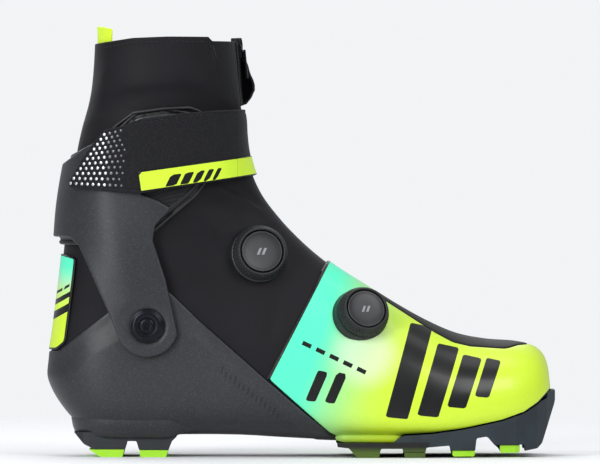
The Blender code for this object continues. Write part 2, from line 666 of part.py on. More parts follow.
def build_strap(look):
    """The closing strap: a fixed part round the front and inner side, and a flap that peels open."""
    top = [(-69.6, 201.8), (-96.9, 197.6), (-104.8, 194.3, 4), (-115.1, 192.2, 2)]
    tip = [(-125.8, 179), (-136.6, 161.2, 3), (-135.4, 158.3)]
    under = [(-114.3, 156.2), (-96.9, 154.6)]
    fold_top = 203.8
    fold_low = 162.9
    flap_outline = prism(
        "flap_outline",
        [(STRAP_FOLD_X - GAP, fold_top), *top, *tip, *under, (STRAP_FOLD_X - GAP, fold_low)],
        -SIDE_REACH, 0,
    )
    flap = layer("strap_flap", (strap_inside, strap_outside), look["strap"], keep=[flap_outline])
    hook_outline = prism(
        "hook_outline",
        [(-132, 163.5), (-98, 160), (-99, 182), (-112, 184), (-124, 177)],
        -SIDE_REACH, 0,
    )
    hook = layer("strap_hook_pad", HOOK, look["trim"], keep=[hook_outline])
    colour_outline = prism(
        "colour_outline",
        [(-95, 167.7), (STRAP_FOLD_X - 1, 174.7), (STRAP_FOLD_X - 1, 163.5), (-93.4, 156)],
        -SIDE_REACH, 0,
    )
    colour = layer("strap_colour_band", (band_inside, band_outside), look["bright"], keep=[colour_outline])

    front = prism(
        "front_band_outline",
        [(STRAP_FOLD_X + GAP, 203.8), (0, 206), (0, 170), (-26, 165.8), (STRAP_FOLD_X + GAP, 162.9)],
        -SIDE_REACH, 1,
    )
    inner_side = prism(
        "inner_band_outline",
        [(0, 206), (-69.6, 201.8), (-104, 196, 6), (-108, 162, 6), (-69, 158), (-26, 165.8), (0, 170)],
        0, SIDE_REACH,
    )
    boolean(inner_side, "UNION", front)
    band = layer("strap_front_band", (strap_inside, strap_outside), look["strap"], keep=[inner_side])
    rivets = []
    for label, height in (("upper", 187), ("lower", 171)):
        place = side_frame(-99, height, 1)
        rivet = (
            (0, 12.4), (3.2, 12.4), (4.2, 11.6), (4.2, STRAP_SIDE[1] + 0.5), (1.6, STRAP_SIDE[1] + 0.5),
            (1.6, 5.2), (0, 5.2),
        )
        rivets.append(turned(f"strap_rivet_{label}", rivet, place, look["steel"], 12))
        bore = hole(f"rivet_bore_{label}", 2.0, 2, 20, place, 10)
        for drilled in (band, bpy.data.objects["cuff_shell"]):
            boolean(drilled, "DIFFERENCE", bore)
    return band, rivets, [flap, hook, colour]


def build_shaft_trim(look):
    """The pull tab, the front zip with its flap, and the slider with its hanging puller."""
    tab_outline = [(-126, 236), (-111.5, 236), (-110.9, 251.5, 2), (-121.6, 253.6, 1)]
    tab = prism("pull_tab_outline", tab_outline, -SIDE_REACH, 0)
    zip_box = box("zip_tape_space", (-60, -7, 207), (0, 7, 245.5))
    flap_box = box("zip_flap_space", (-60, 4.5, 207.5), (0, 21, 246.5))
    tape = layer("zip_tape", (0.3, 0.9), look["trim"], keep=[zip_box])
    flap = layer("zip_flap", (1.2, 2.4), look["gaiter"], keep=[flap_box])
    pull_tab = layer("heel_pull_tab", (-2.7, -1.5), look["bright"], keep=[tab])
    slider = add_part("zip_slider", flat_mesh("zip_slider", [
        (-36.6, 242.5, 0.5), (-32.9, 242.2, 1), (-32.3, 234.8, 1), (-35.8, 234.2, 0.5),
    ], -3.2, 3.2), look["steel"])
    puller = add_part("zip_puller", flat_mesh("zip_puller", [
        (-32.4, 239.4, 0.4), (-31.2, 239.4, 0.4), (-30.1, 222.6, 0.4), (-31.3, 222.6, 0.4),
    ], -2.6, 2.6), look["steel"])
    pivot_holder("zip_slide", (-35.0, 0, 238.4), [slider])
    pivot_holder("zip_puller_hinge", (-31.8, 0, 239.0), [puller])
    return [tape, flap, pull_tab]


def build_dial(name, centre, resting, look):
    """A lacing dial: housing, cable spool, release sleeve, rubber knob and cap on one axis."""
    place = side_frame(*centre, -1, lean=DIAL_LEAN) @ Matrix.Translation((0, 0, resting * MM))
    housing = add_part(f"{name}_dial_housing", turned_mesh(
        f"{name}_dial_housing",
        ((DIAL_RADIUS - 0.6, 3.6), (DIAL_RADIUS + 0.6, 2.6), (DIAL_RADIUS + 0.6, -7), (3.0, -7), (3.0, 1.6),
         (12.6, 1.6), (12.6, 3.6)),
        place, 20,
    ), look["dial"])
    boolean(housing, "DIFFERENCE", form_cutter(resting))
    spool = turned(f"{name}_dial_spool", (
        (3.0, 5.4), (3.0, 3.6), (12.2, 3.6), (12.2, 3.2), (10.4, 2.9), (12.2, 2.4), (12.2, 1.9), (1.2, 1.9),
        (1.2, 5.4),
    ), place, look["bush"], 12)
    sleeve = turned(f"{name}_dial_sleeve", (
        (12.0, 6.8), (12.0, 4.0), (3.4, 4.0), (3.4, 6.8),
    ), place, look["bush"], 12)
    knob = turned(f"{name}_dial_knob", (
        (DIAL_RADIUS - 2.2, DIAL_TOP), (DIAL_RADIUS - 0.7, DIAL_TOP - 0.5), (DIAL_RADIUS, DIAL_TOP - 1.8),
        (DIAL_RADIUS, 4.8), (DIAL_RADIUS - 0.8, 4.0), (12.6, 4.0), (12.6, DIAL_TOP - 0.6),
    ), place, look["rubber"], 20)
    cap = turned(f"{name}_dial_cap", (
        (0, DIAL_TOP - 1.6), (7, DIAL_TOP - 1.5), (11, DIAL_TOP - 0.8), (DIAL_CAP_RADIUS, DIAL_TOP - 1.0),
        (DIAL_CAP_RADIUS, 7.4), (0, 7.4),
    ), place, look["dial"], 20)
    foot = place.translation / MM
    pivot_holder(f"{name}_dial_axis", foot, [spool, sleeve, knob, cap])
    return place


def lace_points(route, count):
    """Points of a cable laid on the inner boot, through (place, angle) pairs along the form."""
    source = form_cutter(-2.1).data
    tree = BVHTree.FromPolygons([v.co for v in source.vertices], [list(p.vertices) for p in source.polygons])
    made = []
    for step in range(count):
        along = step / (count - 1) * (len(route) - 1)
        index = min(int(along), len(route) - 2)
        share = along - index
        smooth = share * share * (3 - 2 * share)
        place = route[index][0] + (route[index + 1][0] - route[index][0]) * share
        angle = route[index][1] + (route[index + 1][1] - route[index][1]) * smooth
        point = form_point(place, math.radians(angle)) * MM
        made.append(tree.find_nearest(point)[0])
    return made


def build_lace(name, route, look, count=26):
    curve = bpy.data.curves.new(name, "CURVE")
    curve.dimensions = "3D"
    curve.bevel_depth = 0.4 * MM
    curve.bevel_resolution = 2
    curve.use_fill_caps = True
    points = lace_points(route, count)
    spline = curve.splines.new("POLY")
    spline.points.add(len(points) - 1)
    for target, point in zip(spline.points, points):
        target.co = (*point, 1.0)
    holder = bpy.data.objects.new(name, curve)
    cutters.objects.link(holder)
    return add_part(name, mesh_of_curve(holder), look)


def looks():
    return {
        "gaiter": material("softshell", (0.027, 0.026, 0.031), 0.75),
        "liner": material("liner_foam", (0.06, 0.062, 0.066), 0.9),
        "lining": material("cuff_padding", (0.03, 0.03, 0.034), 0.85),
        "shell": material("moulded_shell", (0.048, 0.05, 0.061), 0.42),
        "cover": material("film_cover", (0.70, 0.93, 0.10), 0.30),
        "patch": material("film_patch", (0.30, 1.00, 0.70), 0.30),
        "bright": material("bright_film", (0.70, 0.95, 0.08), 0.45),
        "trim": material("black_trim", (0.012, 0.012, 0.014), 0.55),
        "strap": material("strap_webbing", (0.018, 0.018, 0.022), 0.7),
        "plate": material("plate", (0.03, 0.03, 0.03), 0.35),
        "insole": material("insole_felt", (0.10, 0.10, 0.11), 0.95),
        "sole": material("sole_rubber", (0.032, 0.048, 0.060), 0.6),
        "lug": material("lug_rubber", (0.46, 0.86, 0.03), 0.5),
        "steel": material("steel", (0.55, 0.55, 0.56), 0.3, 1.0),
        "bolt": material("black_bolt", (0.02, 0.02, 0.022), 0.35, 0.6),
        "bush": material("acetal", (0.04, 0.04, 0.042), 0.4),
        "rubber": material("knob_rubber", (0.022, 0.023, 0.025), 0.65),
        "dial": material("dial_plastic", (0.035, 0.038, 0.041), 0.4),
    }


def build_boot():
    look = looks()
    leg = build_uppers(look)
    build_base(look)
    build_soles(look)
    build_pivots(look)
    leg += build_cuff(look)
    band, rivets, flap = build_strap(look)
    leg += [band, *rivets, *build_shaft_trim(look)]
    pivot_holder("cuff_axis", (PIVOT[0], 0, PIVOT[1]), leg)
    fold = hit_side(STRAP_FOLD_X, 183, strap_outside, -1)
    pivot_holder("strap_fold_axis", fold, flap)
    for name, (centre, resting) in DIALS.items():
        build_dial(name, centre, resting, look)
    for name, route in LACES.items():
        build_lace(name, route, look["steel"])


clear_scene()
parts = collection(OBJECT_NAME)
cutters = collection("cutters")
build_boot()
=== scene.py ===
import json
import math

import bmesh
import bpy
import numpy as np
from mathutils import Matrix, Vector
from mathutils.bvhtree import BVHTree


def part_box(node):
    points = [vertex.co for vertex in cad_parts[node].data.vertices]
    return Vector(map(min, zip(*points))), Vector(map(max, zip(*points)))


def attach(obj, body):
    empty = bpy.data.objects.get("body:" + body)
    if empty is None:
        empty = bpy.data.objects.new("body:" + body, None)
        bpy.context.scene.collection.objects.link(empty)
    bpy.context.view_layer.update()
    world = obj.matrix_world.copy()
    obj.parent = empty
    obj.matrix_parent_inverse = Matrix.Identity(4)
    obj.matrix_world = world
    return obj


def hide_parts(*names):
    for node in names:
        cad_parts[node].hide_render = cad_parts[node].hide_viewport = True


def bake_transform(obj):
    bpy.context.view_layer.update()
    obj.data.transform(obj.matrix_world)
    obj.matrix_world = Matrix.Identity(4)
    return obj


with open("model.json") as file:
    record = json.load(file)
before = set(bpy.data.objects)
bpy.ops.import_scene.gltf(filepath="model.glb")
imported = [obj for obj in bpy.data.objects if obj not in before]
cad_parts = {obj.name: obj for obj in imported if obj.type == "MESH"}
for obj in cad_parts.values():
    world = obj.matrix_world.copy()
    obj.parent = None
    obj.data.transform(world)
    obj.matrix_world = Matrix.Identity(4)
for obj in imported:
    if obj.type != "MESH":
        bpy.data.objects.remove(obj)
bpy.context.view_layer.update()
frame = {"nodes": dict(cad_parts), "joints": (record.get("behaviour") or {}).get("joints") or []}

MM = 0.001
# The boot's form, toe to collar: front or top point (x, z), bottom or back point (x, z), half width,
# sideways shift, share of the depth above the widest line, exponents of the lower and upper half.
STATIONS = np.array([
    (146.5, 38.0, 145.5, 31.0, 17.0, 9.0, 0.60, 2.4, 2.2),
    (144.5, 54.0, 143.2, 25.5, 28.0, 9.0, 0.62, 2.6, 2.2),
    (139.0, 62.5, 137.0, 21.5, 36.5, 8.0, 0.66, 3.0, 2.2),
    (127.0, 66.0, 125.0, 18.5, 43.0, 7.0, 0.70, 3.4, 2.2),
    (109.0, 67.5, 107.5, 16.0, 46.5, 5.0, 0.73, 3.8, 2.2),
    (91.5, 71.0, 88.5, 13.5, 48.0, 3.0, 0.74, 4.0, 2.2),
    (74.0, 78.5, 68.0, 12.5, 47.5, 1.0, 0.74, 4.0, 2.2),
    (56.0, 88.5, 44.0, 12.0, 45.5, -0.5, 0.73, 3.8, 2.2),
    (38.5, 99.5, 17.5, 12.3, 42.5, -1.5, 0.71, 3.6, 2.2),
    (20.5, 111.0, -9.0, 13.5, 40.0, -2.0, 0.69, 3.4, 2.2),
    (6.0, 122.0, -35.5, 15.0, 38.5, -2.0, 0.68, 3.6, 2.2),
    (-6.0, 133.5, -65.0, 15.3, 37.5, -1.0, 0.66, 4.2, 2.3),
    (-15.0, 144.0, -94.5, 14.5, 36.5, -0.5, 0.62, 4.6, 2.3),
    (-22.0, 153.5, -121.0, 17.0, 36.0, 0.0, 0.58, 4.2, 2.3),
    (-27.0, 163.0, -137.0, 30.0, 36.0, 0.0, 0.55, 3.3, 2.3),
    (-30.0, 171.5, -147.0, 50.5, 36.0, 0.0, 0.52, 2.5, 2.3),
    (-32.0, 180.5, -144.5, 77.5, 36.5, 0.0, 0.50, 2.4, 2.3),
    (-33.0, 189.5, -141.5, 101.0, 37.0, 0.0, 0.50, 2.3, 2.3),
    (-33.5, 198.0, -139.0, 124.5, 37.5, 0.0, 0.50, 2.3, 2.3),
    (-35.0, 207.0, -137.0, 148.0, 38.0, 0.0, 0.50, 2.3, 2.3),
    (-36.0, 216.0, -133.0, 172.0, 38.5, 0.0, 0.50, 2.3, 2.3),
    (-36.5, 225.0, -128.0, 193.5, 39.0, 0.0, 0.50, 2.3, 2.3),
    (-37.0, 233.5, -123.0, 216.0, 39.5, 0.0, 0.50, 2.3, 2.3),
    (-38.0, 244.5, -121.0, 242.5, 40.0, 0.0, 0.50, 2.3, 2.3),
    (-38.5, 260.0, -121.5, 260.0, 40.0, 0.0, 0.50, 2.3, 2.3),
])
LAST = len(STATIONS) - 1
PIVOT = (-89.6, 77.3)
BOTH, OUTER, INNER = 0, -1, 1
SIDES = ((OUTER, "outer"), (INNER, "inner"))
TOE_MIDDLE, TOE_BULGE = (146.0, 9.0, 34.5), 0.9
FAR_ASIDE = 95.0  # beyond the form on either side, where rays towards it start


# The form: points, directions and flat lengths, all in millimetres.


def stations(place):
    """Rows of the table at fractional places, by a Catmull-Rom curve."""
    place = np.clip(place, 0, LAST)
    whole = np.minimum(place.astype(int), LAST - 1)
    share = (place - whole)[:, None]
    a, b, c, d = (STATIONS[np.clip(whole + step, 0, LAST)] for step in (-1, 0, 1, 2))
    bend = 2 * a - 5 * b + 4 * c - d
    rest = -a + 3 * b - 3 * c + d
    return 0.5 * (2 * b + (c - a) * share + bend * share**2 + rest * share**3)


def form(place, turn):
    """Points of the form. A place below 0 runs to the middle of the toe's end."""
    front_x, front_z, back_x, back_z, half, shift, wide, low, high = stations(place).T
    turn = (turn + math.pi) % (2 * math.pi) - math.pi
    upper = np.abs(turn) <= math.pi / 2
    power = np.where(upper, high, low)
    quarter = np.where(upper, np.abs(turn), math.pi - np.abs(turn))
    up, side = np.abs(np.cos(quarter)), np.abs(np.sin(quarter))
    reach = (up**power + side**power) ** (-1 / power)
    up, side = up * reach, side * reach
    depth = np.where(upper, wide * (1 - up), wide + (1 - wide) * up)
    made = np.stack((
        front_x + (back_x - front_x) * depth,
        shift - half * side * np.sign(turn),
        front_z + (back_z - front_z) * depth,
    ), axis=1)
    past = np.clip(-place, 0, 1)[:, None]
    if past.any():
        middle = np.array([TOE_MIDDLE])
        made = np.where(past > 0, middle + (made - middle) * (1 - past), made)
        made[:, 0] += (past * (2 - past))[:, 0] * TOE_BULGE
    return made


def directions(place, turn):
    """Outward unit vectors of the form."""
    step = 0.02
    ahead = form(np.minimum(place + step, LAST), turn) - form(np.maximum(place - step, -1), turn)
    around = form(place, turn + step) - form(place, turn - step)
    made = np.cross(ahead, around)
    made /= np.maximum(np.linalg.norm(made, axis=1, keepdims=True), 1e-9)
    nose = np.clip(-place, 0, 1)[:, None]
    made = made * (1 - nose) + np.array([[1.0, 0.0, 0.0]]) * nose
    return made / np.linalg.norm(made, axis=1, keepdims=True)


def surface(uv, offset=0.0):
    """Points at an offset from the form, for rows of (place, turn)."""
    offset = np.broadcast_to(np.asarray(offset, float), (len(uv),))
    return form(uv[:, 0], uv[:, 1]) + directions(uv[:, 0], uv[:, 1]) * offset[:, None]


FLAT_PLACES = np.linspace(-1, LAST, 201)
FLAT_TURNS = np.linspace(-math.pi, math.pi, 145)
grid_places, grid_turns = (g.ravel() for g in np.meshgrid(FLAT_PLACES, FLAT_TURNS, indexing="ij"))
flat_grid = form(grid_places, grid_turns).reshape(len(FLAT_PLACES), len(FLAT_TURNS), 3)
AROUND = np.linalg.norm(np.diff(flat_grid, axis=1), axis=2).cumsum(axis=1)
AROUND = np.pad(AROUND, ((0, 0), (1, 0)))
AROUND -= AROUND[:, [len(FLAT_TURNS) // 2]]
ALONG = np.pad(np.linalg.norm(np.diff(flat_grid, axis=0), axis=2).cumsum(axis=0), ((1, 0), (0, 0)))


def flat(uv):
    """Lengths around and along the form, for weaves that run with the fabric."""
    row = np.interp(uv[:, 0], FLAT_PLACES, np.arange(len(FLAT_PLACES)))
    column = np.interp(uv[:, 1], FLAT_TURNS, np.arange(len(FLAT_TURNS)))
    r = np.minimum(row.astype(int), len(FLAT_PLACES) - 2)
    c = np.minimum(column.astype(int), len(FLAT_TURNS) - 2)
    a, b = row - r, column - c
    made = []
    for table in (AROUND, ALONG):
        near = table[r, c] * (1 - b) + table[r, c + 1] * b
        far = table[r + 1, c] * (1 - b) + table[r + 1, c + 1] * b
        made.append(near * (1 - a) + far * a)
    return np.stack(made, axis=1)


# Side-view outlines and the fields that measure the distance to them.


def arc(centre, radius, start, end, steps=18):
    """Points of an arc in the side view. Angles run from the heel over the top, in degrees."""
    made = []
    for step in range(steps + 1):
        angle = math.radians(start + (end - start) * step / steps)
        made.append((centre[0] - radius * math.cos(angle), centre[1] + radius * math.sin(angle)))
    return made


def rounded(outline, steps=7):
    """The outline with an arc of the given radius at each corner that has a third number."""
    made = []
    for index, corner in enumerate(outline):
        here = Vector(corner[:2])
        if len(corner) == 2:
            made.append(here)
            continue
        before = (Vector(outline[index - 1][:2]) - here).normalized()
        after = (Vector(outline[(index + 1) % len(outline)][:2]) - here).normalized()
        half = before.angle(after) / 2
        reach = corner[2] / math.tan(half)
        centre = here + (before + after).normalized() * corner[2] / math.sin(half)
        first = here + before * reach - centre
        turn = first.angle_signed(here + after * reach - centre)
        for step in range(steps + 1):
            made.append(centre + Matrix.Rotation(-turn * step / steps, 2) @ first)
    return np.array([tuple(p) for p in made])


def to_line(points, x, z, closed=True):
    """Distance from each (x, z) to a line of points, and whether it is inside the closed line."""
    start = points if closed else points[:-1]
    end = np.roll(points, -1, axis=0) if closed else points[1:]
    best = np.full(len(x), 1e18)
    inside = np.zeros(len(x), bool)
    for (ax, az), (bx, bz) in zip(start, end):
        dx, dz = bx - ax, bz - az
        share = np.clip(((x - ax) * dx + (z - az) * dz) / max(dx * dx + dz * dz, 1e-12), 0, 1)
        best = np.minimum(best, (x - ax - share * dx) ** 2 + (z - az - share * dz) ** 2)
        if closed and az != bz:
            between = (az > z) != (bz > z)
            inside ^= between & (x < (z - az) / (bz - az) * dx + ax)
    return np.sqrt(best), inside


def within(outline, offset=0.0, side=BOTH):
    """A field: millimetres inside a side-view outline, on the outer side, the inner side or both."""
    points = rounded(outline)

    def field(uv):
        place = surface(uv, offset(uv) if callable(offset) else offset)
        distance, inside = to_line(points, place[:, 0], place[:, 2])
        made = np.where(inside, distance, -distance)
        if side:
            made = np.minimum(made, place[:, 1] * side)
        return made

    return field


def below(line, offset=0.0):
    """A field: millimetres under a side-view line given from low x to high x."""
    xs, zs = zip(*line)
    ends = [(-400.0, zs[0]), *line, (400.0, zs[-1])]
    return within([*ends, (400.0, -300.0), (-400.0, -300.0)], offset)


def minus(*fields):
    """The first field without the others."""
    return lambda uv: np.minimum.reduce([fields[0](uv), *(-f(uv) for f in fields[1:])])


def either(fields):
    """What is inside any of the fields."""
    return lambda uv: np.maximum.reduce([field(uv) for field in fields])


def bordered(field, width):
    """The strip between a field's zero and a width."""
    return lambda uv: width - field(uv)


def smooth(value):
    value = np.clip(value, 0, 1)
    return value * value * (3 - 2 * value)


def ridge(distance, width):
    """A rounded ridge, 1 at distance 0."""
    return np.exp(-((distance / width) ** 2))


def about_pivot(radius, offset, corners):
    """A field: a round hole about the ankle's pivot."""
    turns = [2 * math.pi * k / corners for k in range(corners)]
    return within([(PIVOT[0] + radius * math.cos(a), PIVOT[1] + radius * math.sin(a)) for a in turns], offset)


def near_line(points, offset=0.0):
    """A field: distance to an open side-view line."""
    points = np.array(points, float)

    def field(uv):
        place = surface(uv, offset)
        return to_line(points, place[:, 0], place[:, 2], closed=False)[0]

    return field


# Pieces cut from the form's surface.

PLACE_LENGTH, RADIAN_LENGTH = 19, 44  # typical millimetres in one place and in one radian of the form
ALL_ROUND = (-180, 180)
SNAP_SHARE = 0.26  # a cut this near a vertex, as a share of its edge, moves the vertex onto the line


class Patch:
    """A part of the form as a mesh in (place, turn), cut along the level lines of any field."""

    def __init__(self, places, turns=ALL_ROUND, step=1.5):
        first, last = places
        low, high = (math.radians(turn) for turn in turns)
        rows = max(2, round((last - first) * PLACE_LENGTH / step))
        columns = max(3, round((high - low) * RADIAN_LENGTH / step))
        self.bm = bmesh.new()
        self.value = self.bm.verts.layers.float.new("value")
        self.fixed = self.bm.verts.layers.int.new("fixed")
        self.rims = []
        whole = turns == ALL_ROUND
        grid = []
        for i in range(rows + 1):
            row = []
            for j in range(columns + 1):
                place, turn = first + (last - first) * i / rows, low + (high - low) * j / columns
                vert = self.bm.verts.new((place, turn, 0))
                vert[self.fixed] = int(whole and j in (0, columns))
                row.append(vert)
            grid.append(row)
        for here, there in zip(grid, grid[1:]):
            for j in range(columns):
                self.bm.faces.new((here[j], there[j], there[j + 1], here[j + 1]))

    def uv(self):
        return np.array([v.co[:2] for v in self.bm.verts]).reshape(-1, 2)

    def cut(self, field, level=0.0):
        """Adds edges along a level line of a field, and moves nearby vertices onto it."""
        bm, value_layer, fixed = self.bm, self.value, self.fixed
        bm.verts.index_update()
        verts = list(bm.verts)
        uv = self.uv()
        value = field(uv) - level
        value[np.abs(value) < 1e-7] = 1e-7
        edges = list(bm.edges)
        ends = np.array([(e.verts[0].index, e.verts[1].index) for e in edges]).reshape(-1, 2)
        crossing = np.nonzero(value[ends[:, 0]] * value[ends[:, 1]] < 0)[0]
        if not len(crossing):
            for vert, number in zip(verts, value):
                vert[value_layer] = number
            return
        a, b = ends[crossing].T
        low, high = np.zeros(len(a)), np.ones(len(a))
        at_low, at_high = value[a].copy(), value[b].copy()
        for _ in range(4):
            share = low + (high - low) * at_low / (at_low - at_high)
            found = field(uv[a] + (uv[b] - uv[a]) * share[:, None]) - level
            same = found * at_low > 0
            low, at_low = np.where(same, share, low), np.where(same, found, at_low)
            high, at_high = np.where(same, high, share), np.where(same, at_high, found)
            at_low = np.where(np.abs(at_low) < 1e-12, 1e-12 * np.sign(value[a]), at_low)
            at_high = np.where(np.abs(at_high) < 1e-12, 1e-12 * np.sign(value[b]), at_high)
        target = uv[a] + (uv[b] - uv[a]) * share[:, None]
        snapped = {}
        for k in range(len(a)):
            near = (a[k], share[k]) if share[k] < 0.5 else (b[k], 1 - share[k])
            if near[1] < SNAP_SHARE and not verts[near[0]][fixed]:
                if near[0] not in snapped or near[1] < snapped[near[0]][0]:
                    snapped[near[0]] = (near[1], k)
        for index, (_, k) in snapped.items():
            verts[index].co = (*target[k], 0)
            value[index] = 0.0
        for vert, number in zip(verts, value):
            vert[value_layer] = number
        touched = [verts[index] for index in snapped]
        for k, edge_index in enumerate(crossing):
            if a[k] in snapped or b[k] in snapped:
                continue
            _, vert = bmesh.utils.edge_split(edges[edge_index], verts[a[k]], float(share[k]))
            vert.co = (*target[k], 0)
            vert[value_layer] = 0.0
            vert[fixed] = int(verts[a[k]][fixed] and verts[b[k]][fixed])
            touched.append(vert)
        for vert in touched:
            vert[fixed] = 1
        for face in {f for vert in touched for f in vert.link_faces}:
            ring = [loop.vert for loop in face.loops]
            marks = [int(np.sign(vert[value_layer])) for vert in ring]
            if 1 not in marks or -1 not in marks:
                continue
            zeros = [i for i, mark in enumerate(marks) if mark == 0]
            for i, j in ((i, j) for i in zeros for j in zeros if i < j):
                one, other = marks[i + 1:j], marks[j + 1:] + marks[:i]
                if one and other and {*one, *other} >= {1, -1} and not (
                    {1, -1} <= set(one) or {1, -1} <= set(other)
                ):
                    bmesh.utils.face_split(face, ring[i], ring[j])
                    break

    def inside(self, field, level=0.0):
        """Faces on the positive side of a field that was just cut."""
        layer = self.value
        found, unsure = [], []
        for face in self.bm.faces:
            total = sum(vert[layer] for vert in face.verts)
            (found if total > 1e-6 else unsure if abs(total) <= 1e-6 else []).append(face)
        if unsure:
            middles = np.array([f.calc_center_median()[:2] for f in unsure])
            found += [f for f, v in zip(unsure, field(middles) - level) if v > 0]
        return found

    def clip(self, field, rounding=0.0):
        """Keeps what is inside the field, with its edge rounded."""
        self.cut(field)
        kept = set(self.inside(field))
        bmesh.ops.delete(self.bm, geom=[f for f in self.bm.faces if f not in kept], context="FACES")
        if rounding:
            self.cut(field, rounding * 0.3)
            self.cut(field, rounding)
            self.rims.append((field, rounding))

    def terrace(self, field, *levels):
        """Cuts along several level lines, where the shape changes across them."""
        for level in levels:
            self.cut(field, level)

    def paint(self, field, index):
        """Gives what is inside the field another of the piece's materials."""
        self.cut(field)
        for face in self.inside(field):
            face.material_index = index

    def build(self, name, outer, inner, looks, body, sharp=55):
        """The closed piece between two offsets, each a number or a function of (place, turn)."""
        bm = self.bm
        many = [f for f in bm.faces if len(f.verts) > 4]
        if many:
            bmesh.ops.triangulate(bm, faces=many)
        bm.verts.index_update()
        uv = self.uv()
        reach = np.array(outer(uv) if callable(outer) else np.full(len(uv), float(outer)))
        under = np.array(inner(uv) if callable(inner) else np.full(len(uv), float(inner)))
        for field, rounding in self.rims:
            share = np.clip(1 - field(uv) / rounding, 0, 1)
            reach -= rounding * (1 - np.sqrt(1 - share**2))
        _, one_of, same = np.unique(
            np.round(surface(uv), 3), axis=0, return_index=True, return_inverse=True
        )
        same = same.reshape(-1)
        points = np.concatenate((surface(uv, reach)[one_of], surface(uv, under)[one_of]))
        below_by = len(one_of)
        lengths = flat(uv) * MM
        faces, looks_of, corners, edges = [], [], [], {}
        for face in bm.faces:
            raw = [vert.index for vert in face.verts]
            kept = [
                (int(same[i]), i) for n, i in enumerate(raw) if same[i] != same[raw[n - 1]]
            ]
            if len({k for k, _ in kept}) < 3:
                continue
            ring = [k for k, _ in kept]
            faces.append(ring)
            corners += [i for _, i in kept]
            looks_of.append(face.material_index)
            faces.append([k + below_by for k in ring[::-1]])
            corners += [i for _, i in kept[::-1]]
            looks_of.append(face.material_index)
            for n in range(len(ring)):
                edges.setdefault(frozenset((ring[n - 1], ring[n])), []).append(
                    (ring[n - 1], ring[n], kept[n - 1][1], kept[n][1], face.material_index)
                )
        for found in edges.values():
            if len(found) == 1:
                a, b, raw_a, raw_b, look = found[0]
                faces.append([b, a, a + below_by, b + below_by])
                corners += [raw_b, raw_a, raw_a, raw_b]
                looks_of.append(look)
        bm.free()
        made = mesh_object(name, points, faces, looks, body, sharp, facing=False)
        mesh = made.data
        mesh.polygons.foreach_set("material_index", looks_of)
        layer = mesh.uv_layers.new(name="flat")
        layer.data.foreach_set("uv", lengths[np.array(corners)].astype(np.float32).ravel())
        return made


def mesh_object(name, points, faces, looks, body, sharp=40, unit=MM, facing=True):
    """An object from points in millimetres, smooth but for edges sharper than an angle."""
    mesh = bpy.data.meshes.new(name)
    mesh.from_pydata((np.asarray(points, float) * unit).tolist(), [], faces)
    if facing:
        bm = bmesh.new()
        bm.from_mesh(mesh)
        bmesh.ops.recalc_face_normals(bm, faces=bm.faces)
        bm.to_mesh(mesh)
        bm.free()
    for look in looks if isinstance(looks, (list, tuple)) else [looks]:
        mesh.materials.append(look)
    mesh.shade_smooth()
    mesh.set_sharp_from_angle(angle=math.radians(sharp))
    made = bpy.data.objects.new(name, mesh)
    bpy.context.scene.collection.objects.link(made)
    if body:
        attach(made, body)
    return made


def stands_for(piece, slot, *nodes):
    """Hides the CAD nodes that a piece replaces. The piece and the record's material slot are not used."""
    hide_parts(*nodes)


# Lines, stitches and turned pieces on the form.


TREES = {}


def side_tree(offset):
    """A search tree of the form at an offset, which is a number or a function of (place, turn)."""
    if offset not in TREES:
        patch = Patch((-1, LAST), step=2.2)
        uv = patch.uv()
        patch.bm.verts.index_update()
        polygons = [[v.index for v in f.verts] for f in patch.bm.faces]
        patch.bm.free()
        points = surface(uv, offset(uv) if callable(offset) else offset)
        TREES[offset] = BVHTree.FromPolygons([Vector(p) for p in points], polygons)
    return TREES[offset]


def on_side(points, side=OUTER, offset=0.0):
    """Side-view points laid on the form's side, and the outward directions there."""
    tree = side_tree(offset)
    places, outward = [], []
    for x, z in points:
        hit, normal, _, _ = tree.ray_cast(Vector((x, side * FAR_ASIDE, z)), Vector((0, -side, 0)))
        if hit is None:
            hit, normal, _, _ = tree.find_nearest(Vector((x, side * 30.0, z)))
        if normal.y * side < 0:
            normal = -normal
        places.append(np.array(hit))
        outward.append(np.array(normal))
    outward = np.array(outward)
    for _ in range(3):
        soft = (np.roll(outward, 1, 0) + outward * 2 + np.roll(outward, -1, 0)) / 4
        outward[1:-1] = soft[1:-1]
    outward /= np.linalg.norm(outward, axis=1, keepdims=True)
    return np.array(places), outward


def resample(points, step):
    """Even steps along a line of points."""
    points = np.array(points, float)
    lengths = np.concatenate(([0], np.linalg.norm(np.diff(points, axis=0), axis=1).cumsum()))
    count = max(2, round(lengths[-1] / step) + 1)
    at = np.linspace(0, lengths[-1], count)
    return np.stack([np.interp(at, lengths, column) for column in points.T], axis=1)


def curved(points, step=2.0, rounds=3):
    """A line of points with its corners eased by averaging."""
    made = resample(points, step)
    for _ in range(rounds):
        inner = (made[:-2] + made[1:-1] * 2 + made[2:]) / 4
        made = np.vstack((made[:1], inner, made[-1:]))
    return made


